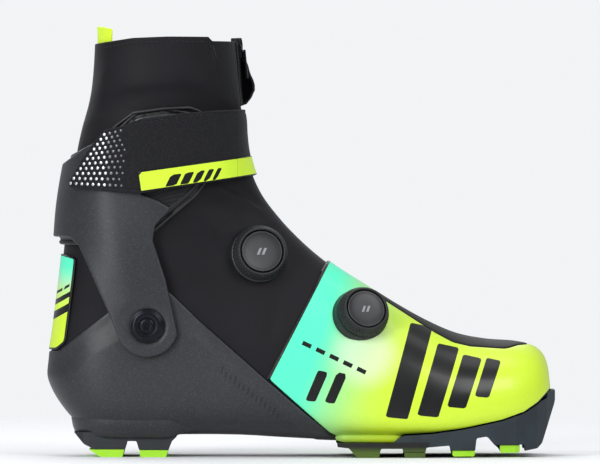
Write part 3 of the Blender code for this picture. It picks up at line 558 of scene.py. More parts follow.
def swept(points, outward, section, sizes=None):
    """Points and faces of a section of (across, out) carried along a line."""
    points, outward, section = (np.asarray(x, float) for x in (points, outward, section))
    tangent = np.gradient(points, axis=0)
    tangent /= np.linalg.norm(tangent, axis=1, keepdims=True)
    across = np.cross(outward, tangent)
    across /= np.linalg.norm(across, axis=1, keepdims=True)
    out = np.cross(tangent, across)
    sizes = np.ones(len(points)) if sizes is None else np.asarray(sizes, float)
    scaled = section[None] * sizes[:, None, None]
    made = points[:, None] + across[:, None] * scaled[..., :1] + out[:, None] * scaled[..., 1:]
    count, around = len(points), len(section)
    faces = []
    for i in range(count - 1):
        for j in range(around):
            k = (j + 1) % around
            here, there = i * around, (i + 1) * around
            faces.append([here + j, here + k, there + k, there + j])
    faces.append(list(range(around))[::-1])
    faces.append([(count - 1) * around + j for j in range(around)])
    return made.reshape(-1, 3), faces


def oval(across, out, lift=0.0, sides=10):
    """A section of half widths across and out, lifted off the surface."""
    return [
        (across * math.cos(2 * math.pi * i / sides), lift + out * math.sin(2 * math.pi * i / sides))
        for i in range(sides)
    ]


def joined(parts):
    """One set of points and faces from several."""
    points, faces, total = [], [], 0
    for some, rings in parts:
        points.append(some)
        faces += [[i + total for i in ring] for ring in rings]
        total += len(some)
    return np.concatenate(points), faces


def capped_rings(count, rows):
    """The faces of a stack of rings with a cap at each end. mesh_object turns them all outward."""
    faces = []
    for low in range(0, (rows - 1) * count, count):
        high = low + count
        faces += [[low + k, low + (k + 1) % count, high + (k + 1) % count, high + k] for k in range(count)]
    last = (rows - 1) * count
    return [*faces, list(range(count)), [last + k for k in range(count)][::-1]]


def stitches(line, outward, length=2.1, gap=0.9, width=0.3, height=0.26):
    """Separate stitches laid along a line."""
    lengths = np.concatenate(([0], np.linalg.norm(np.diff(line, axis=0), axis=1).cumsum()))
    made = []
    start = 0.3
    while start + length < lengths[-1]:
        at = start + length * np.array([0, 0.12, 0.5, 0.88, 1])
        points = np.stack([np.interp(at, lengths, column) for column in line.T], axis=1)
        ways = np.stack([np.interp(at, lengths, column) for column in outward.T], axis=1)
        made.append(swept(points, ways, oval(width, height, 0.05, 6), (0.35, 0.8, 1, 0.8, 0.35)))
        start += length + gap
    return made


def lathe(profile, frame_matrix, steps=96, wobble=None):
    """A profile of (radius, height, weight) turned about a frame's Z axis. The weight takes the wobble."""
    made, faces = [], []
    count = len(profile)
    for j in range(steps):
        angle = 2 * math.pi * j / steps
        for row in profile:
            radius = row[0] + (wobble(angle, row[1]) * row[2] if wobble and len(row) > 2 else 0.0)
            made.append((radius * math.cos(angle), radius * math.sin(angle), row[1]))
    for j in range(steps):
        k = (j + 1) % steps
        for i in range(count - 1):
            faces.append([j * count + i, k * count + i, k * count + i + 1, j * count + i + 1])
        if profile[0][0] > 0:
            faces.append([j * count + count - 1, k * count + count - 1, k * count, j * count])
    if profile[0][0] <= 0:
        made, faces = merged_axis(np.array(made), faces)
    points = np.array(made, float)
    turn = np.array(frame_matrix)[:3, :3]
    middle = np.array(frame_matrix)[:3, 3]
    return points @ turn.T + middle, faces


def merged_axis(points, faces):
    """The same shape with the points that meet on the axis made one."""
    _, one_of, same = np.unique(np.round(points, 6), axis=0, return_index=True, return_inverse=True)
    same = same.reshape(-1)
    made = []
    for face in faces:
        ring = [int(same[i]) for n, i in enumerate(face) if same[i] != same[face[n - 1]]]
        if len(ring) > 2:
            made.append(ring)
    return points[one_of], made


def axis_frame(origin, axis):
    """A frame in millimetres with Z along an axis."""
    axis = Vector(axis).normalized()
    across = Vector((0, 0, 1)).cross(axis)
    across = across.normalized() if across.length > 1e-6 else Vector((1, 0, 0))
    turn = Matrix((across, axis.cross(across), axis)).transposed()
    made = turn.to_4x4()
    made.translation = Vector(origin)
    return made


# Materials.


def colour(red, green, blue):
    """A linear colour from 0 to 255 screen values."""
    return tuple(
        (c / 255 / 12.92) if c / 255 <= 0.04045 else ((c / 255 + 0.055) / 1.055) ** 2.4
        for c in (red, green, blue)
    ) + (1.0,)


class Look:
    """A procedural material under construction. Lengths in its coordinates are millimetres."""

    def __init__(self, name, rough=0.5, **sockets):
        self.material = bpy.data.materials.new(name)
        self.material.use_nodes = True
        self.tree = self.material.node_tree
        self.shader = self.tree.nodes["Principled BSDF"]
        self.shader.inputs["Roughness"].default_value = rough
        for socket, value in sockets.items():
            self.shader.inputs[socket.replace("_", " ")].default_value = value
        self.normal = None

    def add(self, kind, settings=None, **sockets):
        """A node with its sockets fed by name, or by number as _0."""
        node = self.tree.nodes.new(kind)
        for key, value in (settings or {}).items():
            setattr(node, key, value)
        for key, value in sockets.items():
            self.feed(node.inputs[int(key[1:]) if key[0] == "_" else key.replace("_", " ")], value)
        return node

    def feed(self, target, value):
        """Links a socket to another, or sets it."""
        if isinstance(value, bpy.types.NodeSocket):
            self.tree.links.new(value, target)
        else:
            target.default_value = value

    def position(self, scale=(1, 1, 1), turn=(0, 0, 0), flat_cloth=False):
        """Object or cloth coordinates in millimetres, scaled and turned."""
        where = self.add("ShaderNodeTexCoord").outputs["UV" if flat_cloth else "Object"]
        mapping = self.add("ShaderNodeMapping", Vector=where)
        mapping.inputs["Scale"].default_value = tuple(1000 * s for s in scale)
        mapping.inputs["Rotation"].default_value = turn
        return mapping.outputs[0]

    def axis(self, vector, index):
        return self.add("ShaderNodeSeparateXYZ", _0=vector).outputs[index]

    def math(self, operation, a, b=0.0, c=0.0):
        return self.add("ShaderNodeMath", {"operation": operation}, _0=a, _1=b, _2=c).outputs[0]

    def noise(self, scale, detail=3.0, rough=0.55, vector=None, distortion=0.0):
        return self.add(
            "ShaderNodeTexNoise", Vector=vector or self.position(), Scale=scale, Detail=detail,
            Roughness=rough, Distortion=distortion,
        ).outputs["Fac"]

    def ramp(self, value, *stops, mode="LINEAR"):
        node = self.add("ShaderNodeValToRGB", Fac=value)
        node.color_ramp.interpolation = mode
        elements = node.color_ramp.elements
        while len(elements) < len(stops):
            elements.new(0.5)
        for element, (at, shade) in zip(elements, stops):
            element.position = at
            element.color = shade if isinstance(shade, tuple) else (shade, shade, shade, 1.0)
        return node.outputs[0]

    def mix(self, share, a, b, blend="MIX"):
        node = self.add("ShaderNodeMix", {"data_type": "RGBA", "blend_type": blend})
        for number, value in ((0, share), (6, a), (7, b)):
            self.feed(node.inputs[number], value)
        return node.outputs[2]

    def clouded(self, broad, base, light):
        """A soft drift between two colours."""
        return self.mix(self.ramp(broad, (0.35, 0.0), (0.65, 1.0)), base, light)

    def wave(self, pitch, index, vector):
        """A soft 0 to 1 wave along one axis, one period each pitch millimetres."""
        turns = self.math("MULTIPLY", self.axis(vector, index), 2 * math.pi / pitch)
        return self.math("MULTIPLY_ADD", self.math("SINE", turns), 0.5, 0.5)

    def bump(self, height, strength, distance):
        """Adds a bump whose distance is in millimetres."""
        node = self.add("ShaderNodeBump", Height=height, Strength=strength, Distance=distance * MM)
        if self.normal is not None:
            self.tree.links.new(self.normal, node.inputs["Normal"])
        self.normal = node.outputs[0]
        return self

    def done(self, base=None, rough=None):
        """The finished material, its shader fed with colour, roughness and bumps."""
        for socket, value in (("Base Color", base), ("Roughness", rough), ("Normal", self.normal)):
            if value is not None:
                self.feed(self.shader.inputs[socket], value)
        return self.material


def brighter(shade, times):
    return (*[c * times for c in shade[:3]], 1.0)


def softshell_look(name, base, light):
    """A fine knitted face with a slight sheen and cloudy wear."""
    look = Look(name, Sheen_Weight=0.06, Sheen_Roughness=0.4, Specular_IOR_Level=0.2)
    cloth = look.position(flat_cloth=True)
    ribs = look.math("MULTIPLY", look.wave(0.62, 0, cloth), look.wave(0.5, 1, cloth))
    cloud = look.noise(0.045, 4.0)
    fibre = look.noise(2.6, 3.0)
    shade = look.mix(look.ramp(cloud, (0.32, 0.0), (0.7, 1.0)), base, light)
    shade = look.mix(look.math("MULTIPLY", fibre, 0.35), shade, brighter(light, 1.9))
    look.bump(ribs, 0.35, 0.12).bump(fibre, 0.25, 0.1)
    return look.done(shade, look.ramp(cloud, (0.3, 0.5), (0.7, 0.6)))


def flake_look(name, base, light, rough):
    """Moulded plastic with a fine metallic sparkle and faint moulding marks."""
    look = Look(name, Specular_IOR_Level=0.5, Coat_Weight=0.12, Coat_Roughness=0.34)
    cells = look.add("ShaderNodeTexVoronoi", {"feature": "F1"}, Vector=look.position(), Scale=2.1)
    spark = look.ramp(look.axis(cells.outputs["Color"], 0), (0.72, 0.0), (0.98, 1.0))
    grain = look.noise(3.2, 4.0, 0.7)
    broad = look.noise(0.03, 3.0)
    shade = look.clouded(broad, base, light)
    shade = look.mix(look.math("MULTIPLY", spark, 0.045), shade, colour(190, 194, 204))
    shade = look.mix(look.ramp(grain, (0.35, 0.35), (0.75, 0.0)), shade, colour(34, 35, 40))
    look.bump(grain, 0.3, 0.08)
    return look.done(shade, look.math("MULTIPLY_ADD", grain, 0.18, rough))


def film_look(name, stops, along, rough=0.3, painted_highlights=()):
    """A printed, lacquered film: colours run along a side-view direction, with orange peel, and pale spots
    painted in as soft highlights.
    """
    look = Look(name, Specular_IOR_Level=0.4, Coat_Weight=0.22, Coat_Roughness=0.16)
    where = look.position()
    x, z = look.axis(where, 0), look.axis(where, 2)
    (dx, dz), start, end = along
    distance = look.math("ADD", look.math("MULTIPLY", x, dx), look.math("MULTIPLY", z, dz))
    soft = look.math("MULTIPLY_ADD", look.noise(0.08, 2.0), 5.0, -2.5)
    past = look.math("SUBTRACT", look.math("ADD", distance, soft), start)
    share = look.math("DIVIDE", past, end - start)
    shade = look.ramp(share, *stops)
    # painted highlights: pale spots mixed into the colour stand in for soft highlights on the film
    for (hx, hz), reach, strength in painted_highlights:
        across = look.math("SUBTRACT", x, hx)
        up = look.math("SUBTRACT", z, hz)
        square = look.math("ADD", look.math("MULTIPLY", across, across), look.math("MULTIPLY", up, up))
        near = look.math("DIVIDE", look.math("SQRT", square), reach)
        pale = look.ramp(near, (0.3, strength), (1.0, 0.0), mode="EASE")
        shade = look.mix(pale, shade, (0.86, 0.92, 0.88, 1.0))
    dust = look.noise(0.6, 5.0, 0.7)
    shade = look.mix(look.ramp(dust, (0.5, 0.0), (0.8, 0.10)), shade, colour(120, 150, 60))
    fine = look.noise(5.0, 4.0, 0.65)
    peel = look.noise(0.35, 2.0)
    look.bump(peel, 0.16, 0.25).bump(fine, 0.1, 0.03)
    return look.done(shade, look.math("MULTIPLY_ADD", dust, 0.16, rough))


def plastic_look(name, base, light, rough=0.4, grain_scale=2.5, strength=0.2, **sockets):
    """Moulded plastic or rubber with a fine grain and uneven gloss."""
    look = Look(name, **sockets)
    grain = look.noise(grain_scale, 4.0, 0.6)
    broad = look.noise(0.06, 3.0)
    shade = look.clouded(broad, base, light)
    shade = look.mix(look.ramp(grain, (0.55, 0.0), (0.9, 0.3)), shade, brighter(light, 1.8))
    look.bump(grain, strength, 0.12)
    return look.done(shade, look.math("MULTIPLY_ADD", broad, 0.2, rough - 0.1))


def sole_look(name):
    """Slate rubber, black behind the ball where it runs out under the shell, olive at its lugs' feet."""
    look = Look(name, Specular_IOR_Level=0.4)
    where = look.position()
    grain = look.noise(1.6, 4.0, 0.6)
    broad = look.noise(0.06, 3.0)
    slate = look.clouded(broad, colour(26, 35, 42), colour(35, 46, 54))
    slate = look.mix(look.ramp(grain, (0.55, 0.0), (0.9, 0.25)), slate, colour(70, 84, 92))
    x, z = look.axis(where, 0), look.axis(where, 2)
    olive = look.ramp(look.math("DIVIDE", z, 8.0), (0.35, colour(70, 92, 20)), (0.8, colour(10, 11, 11)))
    across, up = look.math("DIVIDE", x, 100.0), look.math("DIVIDE", z, 20.0)
    before, low = look.ramp(across, (0.755, 1.0), (0.765, 0.0)), look.ramp(up, (0.44, 1.0), (0.47, 0.0))
    lug = look.math("MULTIPLY", before, low)
    rear = look.math("MAXIMUM", look.ramp(across, (0.545, 1.0), (0.55, 0.0)), lug)
    look.bump(grain, 0.35, 0.12)
    return look.done(look.mix(rear, slate, olive), look.math("MULTIPLY_ADD", broad, 0.2, 0.45))


def metal_look(name, base, rough=0.3, turned_marks=True):
    """Metal with fine tool marks along one way and a darker patina."""
    look = Look(name, Metallic=1.0)
    where = look.position()
    stretch = (0.3, 6.0, 0.3) if turned_marks else (6.0, 0.4, 0.4)
    marks = look.noise(1.0, 4.0, 0.7, look.position(stretch))
    patina = look.noise(0.3, 4.0, 0.6, where)
    shade = look.mix(look.ramp(patina, (0.4, 0.0), (0.75, 0.5)), base, brighter(base, 0.45))
    look.bump(marks, 0.12, 0.05)
    return look.done(shade, look.math("MULTIPLY_ADD", marks, 0.25, rough - 0.1))


def webbing_look(name, base, light, pitch=1.15, fleck=0.55):
    """A tight woven band: diagonal pairs of warp ends over a ribbed weft, with pale flecks."""
    look = Look(name, Sheen_Weight=0.06, Sheen_Roughness=0.5, Specular_IOR_Level=0.2)
    cloth = look.position(flat_cloth=True)
    slant = look.position(flat_cloth=True, turn=(0, 0, math.radians(52)))
    warp = look.wave(pitch, 0, cloth)
    twill = look.wave(pitch * 0.9, 0, slant)
    fibre = look.noise(3.5, 3.0, 0.7)
    height = look.math("ADD", look.math("MULTIPLY", warp, twill), look.math("MULTIPLY", fibre, 0.5))
    cloud = look.noise(0.95, 3.0, 0.75)
    weave = look.ramp(height, (0.15, 0.0), (1.1, 1.0))
    flecks = look.ramp(cloud, (0.42, 0.0), (0.66, 1.0))
    share = look.math("MULTIPLY_ADD", flecks, fleck, look.math("MULTIPLY", weave, 1 - fleck))
    look.bump(height, 0.45, 0.22).bump(cloud, 0.3, 0.4)
    return look.done(look.mix(share, base, light), look.ramp(fibre, (0.3, 0.62), (0.7, 0.85)))


def mesh_look(name, base, thread):
    """An open spacer mesh: small holes in rows between raised threads, with painted shade darkening the
    holes.
    """
    look = Look(name, Sheen_Weight=0.1, Specular_IOR_Level=0.3)
    cloth = look.position(flat_cloth=True)
    one = look.wave(1.7, 0, look.position(flat_cloth=True, turn=(0, 0, math.radians(30))))
    two = look.wave(1.7, 0, look.position(flat_cloth=True, turn=(0, 0, math.radians(-30))))
    holes = look.math("MULTIPLY", one, two)
    fibre = look.noise(3.0, 3.0, 0.7, cloth)
    # painted shade: the holes are coloured darker than the threads
    shade = look.mix(look.ramp(holes, (0.25, 0.0), (0.6, 1.0)), thread, base)
    look.bump(look.math("SUBTRACT", 1.0, holes), 0.6, 0.5).bump(fibre, 0.3, 0.1)
    return look.done(shade, look.ramp(fibre, (0.3, 0.75), (0.7, 0.92)))


def cable_look(name):
    """Fine steel cable, with painted shade between its strands."""
    look = Look(name, Metallic=0.85)
    strands = look.noise(2.0, 2.0, 0.5, look.position((3.0, 3.0, 3.0)))
    look.bump(strands, 0.5, 0.2)
    # painted shade: the grooves between strands are coloured darker, by the same noise as the bump
    shade = look.mix(strands, colour(70, 72, 76), colour(150, 152, 156))
    return look.done(shade, look.ramp(strands, (0.3, 0.3), (0.7, 0.5)))


TEAL, YELLOW, LIME = colour(84, 238, 192), colour(200, 230, 48), colour(160, 220, 34)
looks = {
    "gaiter": softshell_look("softshell", colour(7, 6, 10), colour(16, 15, 21)),
    "trim": plastic_look("black_trim", colour(10, 10, 12), colour(16, 16, 18), 0.5, 3.0, 0.3),
    "piping": plastic_look("piping_rubber", colour(16, 16, 18), colour(28, 28, 31), 0.42, 2.0, 0.25),
    "shell": flake_look("moulded_shell", colour(13, 14, 20), colour(20, 21, 28), 0.38),
    "cuff": flake_look("moulded_cuff", colour(17, 18, 24), colour(28, 29, 36), 0.36),
    "cover": film_look(
        "film_cover",
        ((0.0, TEAL), (0.12, colour(104, 232, 178)), (0.31, colour(146, 226, 146)),
         (0.476, colour(164, 226, 124)), (0.64, colour(184, 228, 96)), (0.8, colour(194, 230, 68)),
         (1.0, YELLOW)),
        # a pale spot painted on the cover film as a soft highlight
        ((1.0, -0.33), -12.0, 42.0), painted_highlights=(((38, 61), 25.0, 0.42),),
    ),
    "patch": film_look(
        "film_patch",
        ((0.0, YELLOW), (0.16, colour(206, 242, 60)), (0.33, colour(198, 236, 100)),
         (0.5, colour(186, 232, 138)), (0.67, colour(170, 230, 180)), (0.84, colour(126, 240, 190)),
         (1.0, TEAL)),
        ((0.0, 1.0), 84.0, 112.0),
    ),
    "ink": plastic_look("printed_black", colour(3, 3, 4), colour(6, 6, 8), 0.34, 3.0, 0.08, Coat_Weight=0.12,
                        Coat_Roughness=0.15, Specular_IOR_Level=0.35),
    "bright": film_look(
        "bright_band", ((0.0, YELLOW), (1.0, colour(208, 246, 44))), ((1.0, 0.0), -100.0, 0.0), 0.42
    ),
    "strap": webbing_look("strap_webbing", colour(6, 6, 8), colour(34, 34, 39)),
    "tab": webbing_look("tab_webbing", colour(206, 238, 46), colour(218, 246, 70), 0.8, 0.1),
    "lining": mesh_look("cuff_mesh", colour(8, 8, 9), colour(32, 32, 36)),
    "padding": softshell_look("liner_knit", colour(20, 20, 23), colour(29, 29, 33)),
    "thread": webbing_look("stitch_thread", colour(26, 26, 29), colour(52, 52, 57), 0.5),
    "sole": sole_look("sole_rubber"),
    "heel_sole": plastic_look("heel_rubber", colour(15, 21, 26), colour(22, 30, 36), 0.6, 1.6, 0.35),
    "lug": plastic_look("lug_rubber", colour(150, 214, 24), LIME, 0.5, 1.6, 0.3),
    "lug_dark": plastic_look("lug_rubber_dark", colour(64, 84, 18), colour(84, 110, 24), 0.5, 1.6, 0.3),
    "plate": plastic_look("midsole_plate", colour(14, 14, 16), colour(20, 20, 23), 0.4),
    "steel": metal_look("steel", colour(190, 192, 196), 0.3),
    "gunmetal": metal_look("black_metal", colour(40, 41, 46), 0.3),
    "bush": plastic_look("acetal", colour(44, 44, 46), colour(56, 56, 58), 0.4),
    "rubber": plastic_look("knob_rubber", colour(17, 18, 20), colour(27, 28, 30), 0.6, 2.2, 0.4),
    "dial": plastic_look("dial_plastic", colour(20, 21, 24), colour(28, 29, 33), 0.4, 3.0, 0.12),
    "cable": cable_look("lace_cable"),
    "stretch": webbing_look("stretch_knit", colour(5, 5, 6), colour(20, 20, 23), 0.9, 0.7),
    "strip": plastic_look("strip_film", colour(6, 5, 6), colour(14, 12, 13), 0.55, 2.0, 0.2,
                          Specular_IOR_Level=0.25),
    "mark": plastic_look("grey_print", colour(120, 122, 126), colour(136, 138, 142), 0.4),
    "tick": plastic_look("dark_print", colour(8, 8, 9), colour(13, 13, 15), 0.5),
    "hook": plastic_look("hook_and_loop", colour(20, 20, 22), colour(34, 34, 37), 0.9, 3.2, 1.0,
                         Sheen_Weight=0.4),
    # glossy piping: its shine comes from low roughness and a coat, and its lighter colour is a painted
    # highlight
    "gloss": plastic_look("piping_gloss_painted_highlight", colour(30, 30, 34), colour(56, 57, 62), 0.2, 1.0, 0.1,
                          Coat_Weight=0.6, Coat_Roughness=0.12),
    "bead": metal_look("reflective_bead", colour(226, 228, 232), 0.3, False),
    "bead_dim": metal_look("faded_bead", colour(120, 122, 128), 0.4, False),
}


# The softshell upper, blended from the foot to the leg.

COLLAR = [
    (-160, 236), (-121.5, 242.8), (-98.5, 246.2), (-77.8, 247.0), (-53.0, 246.9), (-51.6, 244.4), (0, 244.2),
]
DOME = [(-118, 212), (-112.7, 216.7), (-92, 220), (-69.6, 222), (-50.7, 219.2), (-38.9, 212.6), (-30, 206)]
MOST_SWELL = 2.4
# Each fold: its line on the side, its height and its width.
FOLDS = [
    ([(-52, 158.5), (-36, 152), (-19, 141)], 1.15, 2.2),
    ([(-44, 160), (-33, 154.5), (-23, 147)], -0.9, 2.0),
    ([(-57, 153), (-41, 144), (-25, 133)], -0.7, 3.0),
    ([(-62, 146), (-50, 134), (-40, 118)], 0.8, 3.6),
    ([(-76, 128), (-66, 112), (-58, 92)], 0.55, 4.0),
    ([(-46, 131), (-28, 137), (-14, 138)], 0.5, 2.6),
    ([(-8, 112), (4, 100), (10, 84)], 0.5, 3.4),
    ([(-12, 98), (-14, 84), (-20, 66)], -0.5, 3.6),
    ([(-120, 205), (-128, 190), (-130, 180)], 0.7, 3.0),
    ([(-113, 232), (-116, 220), (-122, 208)], 0.5, 3.6),
    ([(-60, 236), (-56, 224), (-48, 214)], -0.55, 4.0),
]


def soft_folds(uv):
    """The hang of the fabric: the folds over the instep and the padded dome above the strap."""
    made = np.zeros(len(uv))
    place = surface(uv)
    for points, height, width in FOLDS:
        line = curved(points, 1.5, 4)
        distance = to_line(line, place[:, 0], place[:, 2], closed=False)[0]
        length = np.linalg.norm(np.array(points[-1]) - np.array(points[0]))
        middle = np.array(points[1])
        fade = smooth(1.35 - np.hypot(place[:, 0] - middle[0], place[:, 2] - middle[1]) / (0.5 * length))
        made += height * ridge(distance, width) * fade
    dome = curved(DOME, 1.5, 6)
    distance = to_line(dome, place[:, 0], place[:, 2], closed=False)[0]
    high = np.interp(place[:, 0], dome[:, 0], dome[:, 1])
    swell = np.where(
        place[:, 2] < high,
        1.3 * ridge(distance, 4.5) - 0.5 * (1 - ridge(distance, 7)),
        1.3 * ridge(distance, 13),
    )
    above_strap = smooth((place[:, 2] - 190) / 8) * smooth((place[:, 2] - 198) / 6)
    made += swell * above_strap * smooth((place[:, 0] + 124) / 12)
    made += 0.28 * np.sin(place[:, 0] * 0.11 + place[:, 2] * 0.05) * np.sin(place[:, 2] * 0.09 + 1.3)
    return made


def upper_outside(uv):
    """The gaiter's face: folds fade out towards the sole, and under the zip's slider."""
    place = surface(uv)
    flat_front = np.where(place[:, 2] > 204, smooth((np.abs(place[:, 1]) - 4) / 8), 1.0)
    return np.minimum(soft_folds(uv) * smooth((place[:, 2] - 30) / 30) * flat_front, MOST_SWELL)


ZIP_EDGE = [(-51.2, 260), (-50.7, 244), (-44, 221.7), (-37.3, 204.3), (-10, 200), (-10, 260)]
zip_field = within(ZIP_EDGE, 0.5, OUTER)
zip_inner = within([(-46, 260), (-39, 206), (-10, 200), (-10, 260)], 0.5, INNER)
upper = Patch((5.5, LAST), step=1.6)
upper.clip(below(COLLAR), 0.5)
upper.paint(either([zip_field, zip_inner]), 1)
upper_skin = upper.build(
    "softshell_upper", upper_outside, lambda uv: upper_outside(uv) - 1.1,
    [looks["gaiter"], looks["stretch"]], None,
)
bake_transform(upper_skin)
stands_for(upper_skin, "softshell", "gaiter_foot", "gaiter_shaft", "ankle_panel_front", "ankle_panel_back")

# The inner boot under it, open down the instep.
LINER_TOP = [(-160, 237), (-118, 239.5), (-78, 241.8), (-38, 242.2), (0, 242.2)]
LINER_OPENING = [(2, 100), (62, 60), (78, 90), (0, 150)]
sock = Patch((3.2, LAST), step=2.4)
sock.clip(minus(below(LINER_TOP, -4.6), within(LINER_OPENING, -4.6)), 1.4)
sock_skin = sock.build("inner_sock", -4.4, -7.8, looks["padding"], None)
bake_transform(sock_skin)
stands_for(sock_skin, "liner", "inner_boot_foot", "inner_boot_shaft")


# Shells, films and the strap.


def layer(name, node, slot, outline, offsets, look, body, places, turns=ALL_ROUND, side=BOTH, rounding=0.5,
          step=1.5, marks=()):
    """A piece of even thickness inside a side-view outline, which stands for a CAD node."""
    inner, outer = offsets
    patch = Patch(places, turns, step)
    patch.clip(within(outline, outer, side), rounding)
    for mark in marks:
        patch.paint(mark, 1)
    stands_for(patch.build(name, outer, inner, look, body), slot, node)


SHELL_TOP = [
    (-170, 61), (-143, 62.5, 6), (-138, 66.5, 8), *arc(PIVOT, 23.5, 23.8, 129.7), (-59, 80.2, 30),
    (-18.9, 44.8), (17.7, 13.0, 20), (27, 8),
]
HEEL_SHELL = [*SHELL_TOP, (27, -10), (-170, -10)]
shell_inside = within(HEEL_SHELL, 2.6)
FACET = [(-105, 69.4), (-121.8, 60.4), (-127.5, 53.5), (-136, 40), (-180, 40), (-180, 110), (-84, 110)]
facet_inside = within(FACET, 2.6)


def shell_outside(uv):
    """The shell has a flat facet low on the heel's side, and a raised band along the wing's top edge."""
    edge = shell_inside(uv)
    place = surface(uv, 2.6)
    band = smooth((8.6 - edge) / 1.2) * 0.45 * smooth((place[:, 0] + 66) / 14)
    cut = 0.15 * np.clip(facet_inside(uv), 0, 11) * smooth((place[:, 2] - 44) / 14)
    return 2.75 + band - cut - 0.4 * smooth((24 - place[:, 2]) / 8)


shell = Patch((7.5, 16.2), step=1.5)
shell.clip(minus(shell_inside, about_pivot(5.3, 2.6, 18)), 0.8)
shell.terrace(shell_inside, 7.4, 8.6)
shell.cut(facet_inside)
stands_for(shell.build("heel_shell_body", shell_outside, 0.3, looks["shell"], "lower"), "shell", "heel_shell")


SKIRT_OFFSET = 2.3


def skirt(ends, level, centre, rows, taper):
    """A closed foot under the form: rings taken from its side at a level, with rows of (height, inset)."""
    tree = side_tree(SKIRT_OFFSET)
    share = np.concatenate([np.linspace(0, 1, 16) ** 2 * 0.25, np.linspace(0.27, 1, 30)])
    xs = ends[0] + share * (ends[1] - ends[0])

    def rim(x, side):
        return tree.ray_cast(Vector((x, side * FAR_ASIDE, level)), Vector((0, -side, 0)))[0].y

    ring = np.array([(x, rim(x, OUTER)) for x in xs[::-1]] + [(x, rim(x, INNER)) for x in xs])
    away = ring - (centre, 0.0)
    away /= np.linalg.norm(away, axis=1, keepdims=True)
    layers = []
    for height, inset in rows:
        narrow, rise = taper(ring[:, 0], height)
        flat_ring = ring - away * (inset + narrow)[:, None]
        layers.append(np.column_stack([flat_ring, height + rise]))
    return np.vstack(layers), capped_rings(len(ring), len(rows))


def heel_taper(x, height):
    """The heel's foot narrows and rises towards its front."""
    front = smooth((x + 78) / 22)
    return 5.0 * front, front * 3.9 * smooth((25 - height) / 12)


heel_back = side_tree(SKIRT_OFFSET).ray_cast(Vector((-160, 0, 25)), Vector((1, 0, 0)))[0].x + 0.3
heel_foot = skirt((heel_back, -56.0), 25, -92.0, (
    (28.0, 3.4), (25.5, 1.3), (22.5, 0.85), (18.0, 1.7), (14.0, 3.2), (12.6, 3.9), (11.4, 5.0), (11.0, 6.2),
), heel_taper)
mesh_object("heel_shell_foot", *heel_foot, looks["shell"], "lower", 50)

COVER = [
    (17.2, 130), (17.2, 116), (-18.5, 46.6), (18.2, 13.7, 12), (27.5, 9.2), (54, 8.9), (58, 12.4), (61, 13.3),
    (77, 14.3), (96, 16.9), (118.7, 21.8), (132, 26.5), (140.2, 32.1), (148.6, 40.6), (170, 40.6), (170, 130),
]
INSTEP = [
    (43.9, 97.6), (47.4, 94), (79.3, 73.6), (90.1, 67.8, 12), (100.2, 65.4), (121.0, 63.9, 12), (128.5, 65.9),
    (134.5, 66.3), (145, 90), (60, 125),
]
instep_field = within(INSTEP, 1.5)
cover_field = within(COVER, 1.5)


def slanted(low, high, width):
    """A blade that leans forward between two points of its left edge."""
    (x0, z0), (x1, z1) = low, high
    right = [(x1 + width, z1 - 0.22 * width, 1.2), (x0 + width, z0 - 0.10 * width, 1.2)]
    return [(x0, z0, 1.2), (x1, z1, 1.2), *right]


COVER_MARKS = [
    slanted((50.0, 24.0), (65.0, 79.0), 13.0),
    slanted((68.5, 25.0), (81.0, 67.0), 12.5),
    slanted((86.0, 30.0), (95.8, 60.5), 11.0),
    slanted((102.2, 36.0), (109.6, 58.5), 8.5),
    slanted((3.0, 33.5), (10.6, 51.5), 6.0),
    slanted((14.2, 32.4), (21.8, 50.4), 6.0),
]
left_edge = near_line([(17.2, 117), (-19.4, 45.8), (-18, 44.6)], 1.5)
sole_edge = near_line([
    (18.2, 13.2), (27.5, 8.7), (54, 8.4), (58, 11.9), (61, 12.8), (77, 13.8), (96, 16.4), (118.7, 21.3),
    (132, 26), (140.2, 31.6), (148.6, 40.1),
], 1.5)
cover = Patch((-1, 11.6), step=1.4)
cover.clip(minus(cover_field, lambda uv: instep_field(uv) + 0.25), 0.5)
cover.paint(bordered(left_edge, 1.5), 1)
cover.paint(bordered(sole_edge, 1.1), 1)
cover.paint(either([within(points, 1.5) for points in COVER_MARKS]), 1)
forefoot_cover = cover.build("forefoot_cover_film", 1.5, 0.3, [looks["cover"], looks["ink"]], "lower")
stands_for(forefoot_cover, "cover_film", "forefoot_cover")

layer("instep_strip_band", "instep_strip", "black_trim", INSTEP, (0.3, 1.7), looks["strip"], "lower",
      (1.0, 9.5))

HEEL_PATCH = [
    (-170, 120), (-140.4, 119.2), (-131.9, 117, 2), (-133, 106.8, 20), (-138, 67.4, 5), (-143.4, 63.2),
    (-170, 62),
]
patch_edge = within(HEEL_PATCH, 1.5)
patch_bars = [
    within([(-150, z, 0.8), (-150, z + w, 0.8), (-134, z + w + 9, 0.8), (-134, z + 9, 0.8)], 1.5)
    for z, w in ((78.0, 4.5), (86.0, 3.0), (92.0, 1.6))
]
layer("heel_patch_film", "heel_patch", "cover_film", HEEL_PATCH, (0.3, 1.5), [looks["patch"], looks["ink"]],
      "lower", (13.5, 19), marks=[bordered(patch_edge, 1.0), either(patch_bars)])

CUFF = [
    (-84.8, 136.5, 3), (-75.2, 146.1, 1), (-83.5, 150.9), (-93.1, 154.4), (-95, 170), (-100, 186, 4),
    (-124, 184, 20), (-140.3, 172.5), (-170, 172), (-170, 129.6), (-142.4, 129.4), (-136, 129.1, 4),
    (-130.2, 124.3), (-111.7, 83.4), *arc(PIVOT, 18.4, -26, -165), (-78.4, 103.8, 30), (-86.2, 127.5, 6),
]
cuff_inside = within(CUFF, 7.0)
CREASE = curved([(-117, 158), (-115, 143), (-110, 128), (-104, 110), (-98, 95)], 1.5, 4)


def from_pivot(uv):
    place = surface(uv, 7.0)
    return np.hypot(place[:, 0] - PIVOT[0], place[:, 2] - PIVOT[1])


